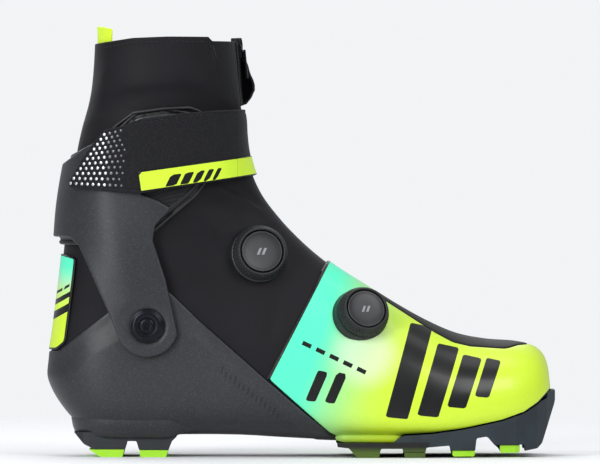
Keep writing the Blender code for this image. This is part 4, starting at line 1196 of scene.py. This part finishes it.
def cuff_outside(uv):
    """The cuff swells softly to a crease that runs down its arm, and has a recessed seat round the bolt."""
    place = surface(uv, 7.0)
    distance = to_line(CREASE, place[:, 0], place[:, 2], closed=False)[0]
    around = from_pivot(uv)
    seat = smooth((12.4 - around) / 1.2)
    return 7.0 + 0.9 * ridge(distance, 11) * smooth((around - 13) / 6) - 0.35 * seat


cuff = Patch((12.0, 21.5), step=1.4)
cuff.clip(minus(cuff_inside, about_pivot(6.0, 7.0, 24)), 0.9)
cuff.terrace(from_pivot, 11.2, 12.4)
stands_for(cuff.build("cuff_body", cuff_outside, 4.8, looks["cuff"], "cuff"), "shell", "cuff_shell")

LINING = [
    (-170, 126), (-131, 124.5), (-110, 124, 20), (-84.5, 132.2), (-60.5, 152.1, 10), (-54.7, 161),
    (-56.3, 201.8, 9), (-79.6, 205.9), (-96.9, 203.4, 10), (-112, 190), (-140, 176.2), (-170, 176),
]
lining_inside = within(LINING, 4.0)


def lining_outside(uv):
    """A foam pad that is crowned between its piped edge and its quilting line."""
    edge = lining_inside(uv)
    piped = 0.55 * ridge(edge - 1.3, 0.9) + 0.45 * ridge(edge - 4.7, 0.8)
    return 2.7 + 1.3 * smooth(edge / 9) + piped - 0.5 * ridge(edge - 3.0, 0.8)


lining = Patch((11.5, 22.5), step=1.4)
lining.clip(lining_inside, 0.9)
lining.terrace(lining_inside, 2.2, 3.0, 3.9, 4.7, 5.6)
lining.paint(bordered(lining_inside, 5.4), 1)
cuff_lining = lining.build("cuff_lining_pad", lining_outside, 0.3, [looks["lining"], looks["trim"]], "cuff")
stands_for(cuff_lining, "padding", "cuff_lining")


def ball_taper(x, height):
    """The cover's lower edge narrows at both ends, and its foot rises there."""
    ends = np.maximum(smooth((26 - x) / 8), smooth((x - 56) / 8))
    return 3.0 * ends, ends * 1.0 * (height < 12)


for name, look, rows in (
    ("cover_lower_edge", "cover",
     ((14.4, 2.2), (13.2, 0.7), (12.0, 0.45), (10.4, 0.7), (9.0, 1.5), (8.6, 2.3))),
    ("cover_lower_trim", "ink", ((9.6, 3.0), (8.8, 1.3), (8.1, 1.1), (7.6, 1.5), (7.3, 2.3))),
):
    made = mesh_object(name, *skirt((19.0, 61.0), 12.8, 40.0, rows, ball_taper), looks[look], "lower", 50)


def strap_share(uv):
    """0 at the front of the leg, 1 from its sides to the back."""
    turn = np.abs(np.degrees((uv[:, 1] + math.pi) % (2 * math.pi) - math.pi))
    return smooth((turn - 4) / 52)


def strap_at(low, high):
    """An offset that is low at the front of the leg and high at its sides, where the cuff is."""
    return lambda uv: low + (high - low) * strap_share(uv)


SEAM_X = -37.0  # where the strap's fixed part ends, just before the fold
SEAM_GAP = 0.06
STRAP_INSIDE, STRAP_OUTSIDE = strap_at(0.6, 9.1), strap_at(2.2, 10.7)
STRAP_TOP = [
    (0, 206), (-44, 203.8), (-69.6, 201.8), (-96.9, 197.6), (-104.8, 194.3, 4), (-115.1, 192.2, 2),
]
STRAP_UNDER = [(-114.3, 156.2), (-96.9, 154.6), (-93.6, 155.0), (-26, 165.8), (0, 170)]
FLAP = [*STRAP_TOP, (-125.8, 179), (-136.6, 161.2, 3), (-135.4, 158.3), *STRAP_UNDER]
WRAP = [*STRAP_TOP[:3], (-104, 196, 6), (-108, 162, 6), (-69, 158), (-26, 165.8), (0, 170)]


def peeling(uv):
    """A field for the part of the strap that peels, on the outer side behind the seam."""
    place = surface(uv, STRAP_OUTSIDE(uv))
    return np.minimum(SEAM_X - SEAM_GAP - place[:, 0], -place[:, 1])


def staying(uv):
    """A field for the rest of the strap."""
    place = surface(uv, STRAP_OUTSIDE(uv))
    return np.where(place[:, 1] > 0, 60.0, place[:, 0] - SEAM_X - SEAM_GAP)


def strap_part(name, node, outline, side_field, turns, step, body):
    """A length of woven band with a sewn groove just inside its edge."""
    inside = within(outline, STRAP_OUTSIDE)
    patch = Patch((12.5, 22.5), turns, step)
    patch.clip(side_field)
    patch.clip(inside, 0.55)
    patch.terrace(inside, 1.3, 1.9, 2.5)
    outside = lambda uv: STRAP_OUTSIDE(uv) - 0.28 * ridge(inside(uv) - 1.9, 0.45)
    made = patch.build(name, outside, STRAP_INSIDE, looks["strap"], body)
    if not body:
        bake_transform(made)
    stands_for(made, "webbing", node)


strap_part("strap_flap_band", "strap_flap", FLAP, peeling, (2, 178), 1.4, None)
strap_part("strap_front_wrap", "strap_front_band", WRAP, staying, (-178, 60), 1.5, "cuff")

# The colour band: a welded film with a dark outline and generic slanted marks.
BAND = [(-95, 167.7), (-27.8, 177.1), (0, 181.0), (0, 169.9), (-26.1, 165.9), (-93.4, 156)]
band_field = within(BAND, STRAP_OUTSIDE)
BAND_SLOPE = 0.142
MARKS = [(-79.0, 6.4), (-70.5, 5.2), (-63.2, 4.2), (-57.0, 3.3), (-51.8, 2.6)]
mark_fields = []
for x, width in MARKS:
    low, rise = 158.9 + (x + 79) * BAND_SLOPE, width * BAND_SLOPE
    top_x, top = x + 3.4, low + 7.0
    corners = [(x, low), (top_x, top, 0.5), (top_x + width, top + rise, 0.5), (x + width, low + rise)]
    mark_fields.append(within(corners, STRAP_OUTSIDE))
band_looks = [looks["bright"], looks["ink"]]
band_outside, band_inside = strap_at(2.75, 11.25), strap_at(2.3, 10.8)

band = Patch((12.0, 20.5), (2, 178), step=1.3)
band.clip(peeling)
band.clip(band_field, 0.25)
band.paint(either(mark_fields), 1)
band.paint(bordered(band_field, 0.55), 1)
band_flap = band.build("colour_band_flap", band_outside, band_inside, band_looks, None)
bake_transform(band_flap)
stands_for(band_flap, "bright_film", "strap_colour_band")

band = Patch((12.0, 20.5), (-20, 60), step=1.3)
band.clip(staying)
band.clip(lambda uv: -surface(uv, STRAP_OUTSIDE(uv))[:, 1] + 3.0)
band.clip(band_field, 0.25)
band.paint(bordered(band_field, 0.55), 1)
band.build("colour_band_front", band_outside, band_inside, band_looks, "cuff")

HOOK = [(-132, 163.5, 2), (-98, 160, 2), (-99, 182, 2), (-112, 184, 2), (-124, 177, 2)]
layer("strap_hook_patch", "strap_hook_pad", "black_trim", HOOK, (8.2, 8.8), looks["hook"], "strap",
      (13.5, 21.5), (60, 178), OUTER, 0.3, 1.6)
LOOP = [(-134, 163, 2), (-96, 158, 2), (-97, 184, 2), (-112, 186, 2), (-126, 178, 2)]
layer("cuff_loop_felt", "cuff_loop_patch", "black_trim", LOOP, (7.3, 7.9), looks["hook"], "cuff",
      (13.5, 21.5), (60, 178), OUTER, 0.3, 1.6)


BEAD_PITCH = 3.35
FADED_FROM = -113  # beads from this x on are dimmer


def dot_grid():
    """Reflective beads on the strap's tip, in rows that fan out and fade towards the leg."""
    made = []
    for row in range(11):
        share = row / 10
        x, z = -134.7 + 20.0 * share, 160.9 + 28.6 * share
        slope = math.radians(-2.5 + 16 * share)
        while x < -102.4 - 1.2 * (row % 2):
            fade = float(smooth((-101 - x) / 12))
            made.append((x, z, 0.70 + 0.28 * fade))
            x += BEAD_PITCH * math.cos(slope)
            z += BEAD_PITCH * math.sin(slope)
    xs, zs, _ = np.array(made).T
    distance, inside = to_line(rounded(FLAP), xs, zs)
    return [dot for dot, d, i in zip(made, distance, inside) if i and d > 1.25]


def dome(place, outward, radius, height, sides=12):
    """A low bead standing on a surface."""
    outward = Vector(outward).normalized()
    across = outward.orthogonal().normalized()
    along = outward.cross(across)
    points = []
    for ring_radius, ring_height in ((1.0, -0.2), (0.97, 0.35), (0.72, 0.8), (0.35, 0.98)):
        for k in range(sides):
            angle = 2 * math.pi * k / sides
            offset = (across * math.cos(angle) + along * math.sin(angle)) * radius * ring_radius
            points.append(np.array(place) + np.array(offset + outward * height * ring_height))
    return np.array(points), capped_rings(sides, 4)


dots = dot_grid()
spots, ways = on_side([(x, z) for x, z, _ in dots], OUTER, STRAP_OUTSIDE)
bright = [dome(p, w, size, 0.36) for p, w, (x, _, size) in zip(spots, ways, dots) if x < FADED_FROM]
faded = [dome(p, w, size, 0.30) for p, w, (x, _, size) in zip(spots, ways, dots) if x >= FADED_FROM]
mesh_object("strap_tip_beads", *joined(bright), looks["bead"], "strap", 50)
mesh_object("strap_tip_beads_faded", *joined(faded), looks["bead_dim"], "strap", 50)


# Piping, seams and stitches.


RIB_STEP = 0.5


def seam(name, line, side, offset, look, body, radius, ribs=0.0):
    """A raised tube along a side-view line, ribbed if a pitch of ribs is given."""
    step = RIB_STEP if ribs else 1.6
    points, outward = on_side(curved(line, step), side, offset)
    sizes = 1 + 0.16 * np.sin(np.arange(len(points)) * RIB_STEP * 2 * math.pi / ribs) if ribs else None
    mesh_object(name, *swept(points, outward, oval(*radius), sizes), looks[look], body, 60)


def stitch_rows(name, lines, side, offset, body):
    """Rows of stitches in one piece."""
    made = []
    for line in lines:
        made += stitches(*on_side(curved(line, 1.4), side, offset))
    mesh_object(name, *joined(made), looks["thread"], body, 60)


lining_top = [
    (-113, 189), (-107.4, 194.9), (-97.6, 202.2), (-80, 204.5), (-64.6, 205.2), (-58.6, 203), (-56.6, 198),
]
lining_top_in = [(-110, 185.5), (-104, 191.0), (-95.5, 198.4), (-80, 200.6), (-66, 201.4), (-61, 199.5)]
lining_low = [(-56.3, 163), (-56.2, 161), (-61.8, 153.4), (-85.2, 133.8), (-100, 127.6)]
lining_low_in = [(-60.2, 165), (-60.4, 161), (-64.8, 156.2), (-86.8, 137.6), (-98, 132.4)]
for side, label in SIDES:
    seam(f"pad_piping_top_{label}", lining_top, side, 3.0, "piping", "cuff", (0.95, 0.85), ribs=1.3)
    seam(f"pad_piping_quilt_{label}", lining_top_in, side, 3.5, "gloss", "cuff", (0.7, 0.6))
    seam(f"pad_piping_low_{label}", lining_low, side, 3.0, "piping", "cuff", (0.95, 0.85), ribs=1.3)
    seam(f"pad_piping_low_quilt_{label}", lining_low_in, side, 3.6, "piping", "cuff", (0.7, 0.6), ribs=1.3)

collar_line = [(-117, 240.2), (-98.5, 243.4), (-77.8, 244.2), (-56, 244.1)]
zip_seam = [(-51.2, 242), (-48.2, 231), (-44.6, 220), (-40.6, 209)]
cover_edge = [(17.0, 116.0), (-2.2, 77.6), (-18.9, 46.2)]
strap_rows = [
    [(-51, 201.4), (-69.6, 199.9), (-96.2, 195.8), (-101, 194.2)],
    [(-128, 159.6), (-114.3, 158.1), (-97.5, 156.6)],
]
for side, label in SIDES:
    stitch_rows(f"collar_stitches_{label}", [collar_line], side, 0.25, "cuff")
seam("zip_seam_outer", zip_seam, OUTER, -0.1, "trim", "cuff", (0.6, 0.45))
stitch_rows("zip_stitches_outer", [[(x - 1.6, z) for x, z in zip_seam]], OUTER, 0.25, "cuff")
stitch_rows("strap_stitches", strap_rows, OUTER, STRAP_OUTSIDE, "strap")
for side, label in SIDES:
    seam(f"cover_edge_{label}", cover_edge, side, 1.0, "ink", "lower", (0.55, 0.5))


# The front zip: tape, teeth and garage flap.

TOOTH_PITCH = 1.05


def front_place(z):
    """The place along the form whose front is at a height."""
    places = np.linspace(10, LAST, 400)
    return float(np.interp(z, form(places, np.zeros(400))[:, 2], places))


def zip_zone(uv):
    """The tape's width and height."""
    place = surface(uv, 0.9)
    return np.minimum.reduce([7 - np.abs(place[:, 1]), place[:, 2] - 207, 244.4 - place[:, 2]])


def tape_outside(uv):
    """The tape rises to a cord on each side of the teeth."""
    return 0.9 + 0.25 * ridge(np.abs(surface(uv)[:, 1]) - 2.6, 0.6)


tape = Patch((19.0, LAST), (-20, 20), step=1.2)
tape.clip(zip_zone, 0.3)
stands_for(tape.build("zip_tape_cloth", tape_outside, 0.3, looks["strap"], "cuff"), "black_trim", "zip_tape")
teeth = []
for number, z in enumerate(np.arange(208.2, 243.6, TOOTH_PITCH)):
    side = 1 if number % 2 else -1
    base = surface(np.array([[front_place(z), 0.0]]), 1.35)[0]
    line = np.array([base + (0, side * y, 0) for y in (-0.5, 0.2, 1.3, 2.1)])
    teeth.append(swept(line, np.tile([[1.0, 0, 0.07]], (4, 1)), oval(0.42, 0.55, 0, 8), (0.9, 1, 0.85, 0.6)))
mesh_object("zip_teeth", *joined(teeth), looks["trim"], "cuff", 50)


def flap_zone(uv):
    """The garage flap's width and height."""
    place = surface(uv, 2.4)
    return np.minimum.reduce([place[:, 1] - 3.2, 21 - place[:, 1], place[:, 2] - 206.5, 246.6 - place[:, 2]])


# How far the flap's free edge stands off at each height.
FLAP_RISE = [
    (204, -1.0), (207, 0.6), (211, 4.8), (215, 7.3), (218, 7.1), (222, 6.2), (228, 4.4), (234, 2.3),
    (240, 1.5), (247, 1.4),
]


def garage_outside(uv):
    """The flap over the zip: its free edge curls out, most of all near its lower end."""
    place = surface(uv, 2.4)
    rise = np.interp(place[:, 2], *zip(*FLAP_RISE)) * smooth((13 - place[:, 1]) / 9)
    ripple = 0.25 * np.sin(place[:, 2] * 0.55) * smooth((12 - place[:, 1]) / 8)
    return 2.4 + rise + ripple


garage = Patch((19.0, LAST), (-60, -1), step=1.2)
garage.clip(flap_zone, 0.5)
zip_garage = garage.build(
    "zip_garage_flap", garage_outside, lambda uv: garage_outside(uv) - 1.3, looks["gaiter"], "cuff"
)
stands_for(zip_garage, "softshell", "zip_flap")

TAB = [(-126, 236), (-111.5, 236), (-110.9, 251.5, 1.2), (-121.6, 253.6, 1.2)]
layer("heel_tab_webbing", "heel_pull_tab", "bright_film", TAB, (-2.7, -1.5), looks["tab"], "cuff",
      (22, LAST), (90, 178), OUTER, 0.3, 1.0)


# Dials, bolts and rivets, turned on their own axes.

joints = {joint["name"]: joint for joint in frame["joints"]}
KNURLS = 44


def knurl(angle, height):
    """Slanted grip ribs, cut at two crossing angles."""
    one = math.sin(KNURLS * angle + height * 1.7)
    two = math.sin(KNURLS * angle - height * 1.7)
    return 0.42 * max(one, two) - 0.2


# Profiles are (radius, height, share of the wobble).
DIAL_HOUSING = (
    (13.0, 3.6), (15.7, 3.6), (16.5, 3.3), (16.9, 2.6), (17.1, 1.2), (17.5, -0.4), (18.0, -1.2), (18.0, -6.6),
    (3.2, -6.6), (3.2, 1.6), (12.8, 1.6),
)
DIAL_GRIP = (
    (12.8, 10.9), (13.0, 11.5), (13.3, 11.8), (13.8, 11.8), (14.2, 11.4, 0.3), (14.6, 10.7, 0.8),
    (14.95, 9.9, 1), (15.3, 9.1, 1), (15.6, 8.3, 1), (15.9, 7.5, 1), (16.15, 6.7, 1), (16.35, 5.9, 1),
    (16.4, 5.2, 0.8), (16.2, 4.6, 0.4), (15.6, 4.2), (12.8, 4.2),
)
DIAL_FACE = (
    (0, 10.75), (3.5, 10.72), (7.0, 10.8), (9.6, 11.0), (10.9, 11.25), (11.5, 11.45), (11.9, 11.4),
    (12.15, 11.1), (12.2, 10.6), (12.2, 7.6), (0, 7.6),
)
DIAL_MARK_HEIGHTS = (10.5, 10.93)
BOX_FACES = [(3, 2, 1, 0), (4, 5, 6, 7), (0, 1, 5, 4), (1, 2, 6, 5), (2, 3, 7, 6), (3, 0, 4, 7)]
# The photo shows the lower dial slightly smaller than the upper one.
DIAL_SCALES = {"upper": 1.0, "lower": 0.93}

for dial, scale in DIAL_SCALES.items():
    axis = joints[f"{dial}_dial_turn"]
    knob = f"{dial}_dial_knob"
    place = axis_frame([c / MM for c in axis["pos_m"]], axis["axis"]) @ Matrix.Diagonal((scale, scale, 1, 1))
    made = mesh_object(f"{dial}_dial_base", *lathe(DIAL_HOUSING, place), looks["dial"], "lower")
    stands_for(made, "dial_plastic", f"{dial}_dial_housing")
    made = mesh_object(f"{dial}_dial_grip", *lathe(DIAL_GRIP, place, 432, knurl), looks["rubber"], knob, 50)
    stands_for(made, "knob_rubber", f"{dial}_dial_knob")
    for bar in range(2):
        left = -2.3 + 2.9 * bar
        corners = [(left + dx + 0.45 * dy, dy, h) for h in DIAL_MARK_HEIGHTS
                   for dx, dy in ((0, -2), (1.5, -2), (1.5, 2), (0, 2))]
        prism = [np.array(place @ Vector(corner)) for corner in corners]
        mesh_object(f"{dial}_dial_mark_{bar + 1}", prism, BOX_FACES, looks["mark"], knob)
    made = mesh_object(f"{dial}_dial_face", *lathe(DIAL_FACE, place), looks["dial"], knob, 60)
    stands_for(made, "dial_plastic", f"{dial}_dial_cap")

# The bolt's head, with heights from its base, ends in a socket with six lobes.
BOLT_HEAD = (
    (0, 0.9), (1.7, 0.9, 1), (1.8, 2.1, 1), (2.6, 2.3), (3.6, 2.25), (4.1, 1.9), (4.6, 1.9), (5.0, 2.45),
    (6.2, 2.75), (7.6, 2.8), (8.7, 2.4), (9.5, 1.6), (9.9, 1.5), (10.15, 1.1), (10.25, 0.3), (10.0, 0),
    (3.0, 0), (3.0, -9), (0, -9),
)
BOLT_HEAD_DEPTH = 3.0


def lobes(angle, height):
    return 0.32 * math.cos(6 * angle)


for side, label in SIDES:
    low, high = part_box(f"pivot_bolt_{label}")
    base = (high.y if side == INNER else -low.y) / MM - BOLT_HEAD_DEPTH
    profile = [(radius, base + height, *share) for radius, height, *share in BOLT_HEAD]
    bolt = lathe(profile, axis_frame((PIVOT[0], 0, PIVOT[1]), (0, side, 0)), 120, lobes)
    made = mesh_object(f"pivot_screw_{label}", *bolt, looks["gunmetal"], "lower", 35)
    stands_for(made, "black_metal", f"pivot_bolt_{label}")

RIVET = (
    (0, 1.15), (0.9, 1.2), (1.2, 1.75), (2.4, 1.7), (3.4, 1.35), (4.0, 0.8), (4.2, 0.2), (4.1, 0.0),
    (1.6, -0.05), (1.6, -5.4), (0, -5.4),
)
for label, height in (("upper", 187), ("lower", 171)):
    spots, ways = on_side([(-99, height)], INNER, 10.7)
    rivet = lathe(RIVET, axis_frame(spots[0], ways[0]), 48)
    made = mesh_object(f"strap_stud_{label}", *rivet, looks["gunmetal"], "cuff", 40)
    stands_for(made, "steel", f"strap_rivet_{label}")


# Plain printed marks in place of words: fine ticks along the wing and dashes on the cover.


def printed(name, lines, offset, section, look):
    """Flat strokes laid on the outer side."""
    strokes = []
    for line in lines:
        points, outward = on_side(resample(line, 0.8), OUTER, offset)
        strokes.append(swept(points, outward, section))
    mesh_object(name, *joined(strokes), looks[look], "lower", 60)


ticks = []
for number in range(14):
    x, tall = 2.55 * number, 3.2 if number % 3 else 4.4
    z = 49.5 - 0.80 * x
    ticks.append([(x - 46.5, z), (x - 46.5 + 0.9 * tall / 3.2, z + tall)])
printed("wing_ticks", ticks, 3.0, oval(0.42, 0.14, -0.02, 8), "tick")
dashes = [[(x, 68.2 - 0.47 * x), (x + 5.0, 65.8 - 0.47 * x)] for x in (1.5, 9.5, 17.5, 25.5, 33.5)]
printed("side_dashes", dashes, 1.5, oval(1.35, 0.16, -0.02, 12), "ink")


# The zip's slider and puller.


def rounded_bar(half, outline, radius):
    """A bar across the boot from side-view corners, thinner towards its two sides."""
    rows = 7
    corners = rounded([(x, z, radius) for x, z in outline])
    points = np.array([(x, y, z) for y in np.linspace(-half, half, rows) for x, z in corners])
    middle = np.mean(corners, 0)[0]
    squeeze = 1 - 0.35 * np.clip(np.abs(points[:, 1]) / half, 0, 1) ** 4
    points[:, 0] = middle + (points[:, 0] - middle) * squeeze
    return points, capped_rings(len(corners), rows)


slider = rounded_bar(3.1, [(-37.8, 242.5), (-34.2, 242.2), (-33.4, 234.8), (-37.1, 234.2)], 1.1)
made = mesh_object("zip_slider_body", *slider, looks["gunmetal"], "zip_slider", 50)
stands_for(made, "steel", "zip_slider")
puller = rounded_bar(2.5, [(-33.7, 239.6), (-32.2, 239.6), (-30.3, 222.6), (-31.6, 222.6)], 0.5)
made = mesh_object("zip_puller_tag", *puller, looks["gunmetal"], "zip_puller", 50)
stands_for(made, "steel", "zip_puller")


# CAD nodes that keep their shape get a finished material, and softened edges where they can be seen.

KEPT = (
    ("sole", 0.7, ("forefoot_sole",)),
    ("heel_sole", 0.7, ("heel_sole",)),
    ("lug_dark", 0.6, ("lug_tip_ball_outer", "lug_tip_ball_inner")),
    ("lug", 0.6, ("lug_tip_fore_outer", "lug_tip_fore_inner", "lug_tip_toe_outer", "lug_tip_toe_inner")),
    ("lug", 0.6, ("heel_lug_tip_rear", "heel_lug_tip_front")),
    ("plate", 0.0, ("midsole_plate", "toe_puff")),
    ("padding", 0.0, ("insole", "tongue")),
    ("steel", 0.0, ("toe_bar", "pivot_nut_outer", "pivot_nut_inner")),
    ("cable", 0.0, ("upper_lace", "lower_lace")),
    ("bush", 0.0, ("pivot_bush_outer", "pivot_bush_inner", "upper_dial_spool", "lower_dial_spool")),
    ("bush", 0.0, ("upper_dial_sleeve", "lower_dial_sleeve")),
)


def finished(kept, look, bevel):
    kept.data.materials.clear()
    kept.data.materials.append(looks[look])
    kept.data.shade_smooth()
    kept.data.set_sharp_from_angle(angle=math.radians(34))
    if bevel:
        soft = kept.modifiers.new("soft edges", "BEVEL")
        soft.width = bevel * MM
        soft.segments = 3
        soft.limit_method = "ANGLE"
        soft.angle_limit = math.radians(32)
        soft.harden_normals = True


for look, bevel, nodes in KEPT:
    for node in nodes:
        finished(frame["nodes"][node], look, bevel)


# Floor, light and camera.

BACKGROUND = (0.885, 0.900, 0.918, 1.0)
RIM_POINTS = 96


def floor():
    """A pale round floor that fades into the background around its rim."""
    turns = [2 * math.pi * k / RIM_POINTS for k in range(RIM_POINTS)]
    beside = [(k, (k + 1) % RIM_POINTS) for k in range(RIM_POINTS)]
    points = [(0.0, 0.0, 0.0)]
    faces = [[0, 1 + k, 1 + n] for k, n in beside]
    for number, radius in enumerate((0.3, 0.7, 1.1, 1.6)):
        points += [(radius * math.cos(a), radius * math.sin(a), 0.0) for a in turns]
        if number:
            high = 1 + RIM_POINTS * number
            low = high - RIM_POINTS
            faces += [[low + k, high + k, high + n, low + n] for k, n in beside]
    look = Look("pale_floor", 0.85, Specular_IOR_Level=0.15)
    cloud = look.ramp(look.noise(0.004, 3.0), (0.3, 0.0), (0.7, 1.0))
    look.done(look.mix(cloud, (0.80, 0.81, 0.825, 1.0), (0.815, 0.825, 0.84, 1.0)))
    where = look.position((0.001, 0.001, 0.001))
    length = look.add("ShaderNodeVectorMath", {"operation": "LENGTH"}, _0=where).outputs["Value"]
    fade = look.ramp(length, (0.35, 0.0), (0.95, 1.0), mode="EASE")
    clear = look.add("ShaderNodeBsdfTransparent")
    both = look.add("ShaderNodeMixShader", None, _0=fade, _1=look.shader.outputs[0], _2=clear.outputs[0])
    out = next(node for node in look.tree.nodes if node.bl_idname == "ShaderNodeOutputMaterial")
    look.tree.links.new(both.outputs[0], out.inputs["Surface"])
    mesh_object("floor", points, faces, look.material, None, unit=1.0, facing=False)


def point_at(made, aim):
    made.rotation_mode = "QUATERNION"
    made.rotation_quaternion = (Vector(aim) - made.location).to_track_quat("-Z", "Y")


def light(name, place, aim, size, power):
    """A soft rectangular lamp that the camera doesn't see."""
    lamp = bpy.data.lights.new(name, "AREA")
    lamp.shape = "RECTANGLE"
    lamp.size, lamp.size_y = size
    lamp.energy = power
    made = bpy.data.objects.new(name, lamp)
    bpy.context.scene.collection.objects.link(made)
    made.location = place
    made.visible_camera = False
    point_at(made, aim)


floor()
light("key", (-0.95, -1.15, 0.95), (-0.03, 0, 0.12), (0.7, 0.9), 12)
light("side", (-0.86, -1.2, 0.3), (-0.08, 0, 0.14), (0.4, 0.7), 4.5)
light("fill", (0.75, -1.1, 0.85), (0.03, 0, 0.10), (0.6, 0.6), 7.5)
light("top", (0.1, 0.1, 1.5), (0, 0, 0.1), (1.4, 0.9), 8)
light("back", (-0.3, 1.0, 0.9), (0, 0, 0.15), (1.4, 0.8), 6)

# The world lights softly, and shows the camera a plain pale background.
world = bpy.data.worlds.new("studio")
bpy.context.scene.world = world
world.use_nodes = True
tree = world.node_tree
tree.nodes["Background"].inputs["Color"].default_value = (0.93, 0.95, 0.97, 1.0)
tree.nodes["Background"].inputs["Strength"].default_value = 0.46
seen = tree.nodes.new("ShaderNodeBackground")
seen.inputs["Color"].default_value = BACKGROUND
path, choice = tree.nodes.new("ShaderNodeLightPath"), tree.nodes.new("ShaderNodeMixShader")
for source, target in (
    (path.outputs["Is Camera Ray"], choice.inputs[0]),
    (tree.nodes["Background"].outputs[0], choice.inputs[1]),
    (seen.outputs[0], choice.inputs[2]),
    (choice.outputs[0], tree.nodes["World Output"].inputs[0]),
):
    tree.links.new(source, target)

# A long lens shows the boot's side almost without perspective, as the photo does.
camera = bpy.data.cameras.new("camera")
camera.lens, camera.sensor_width = 610, 36
camera_object = bpy.data.objects.new("camera", camera)
bpy.context.scene.collection.objects.link(camera_object)
camera_object.location = (0.0, -6.0, 0.187)
point_at(camera_object, (0, 0, 0.132))
bpy.context.scene.camera = camera_object
bpy.context.scene.view_settings.view_transform = "Standard"
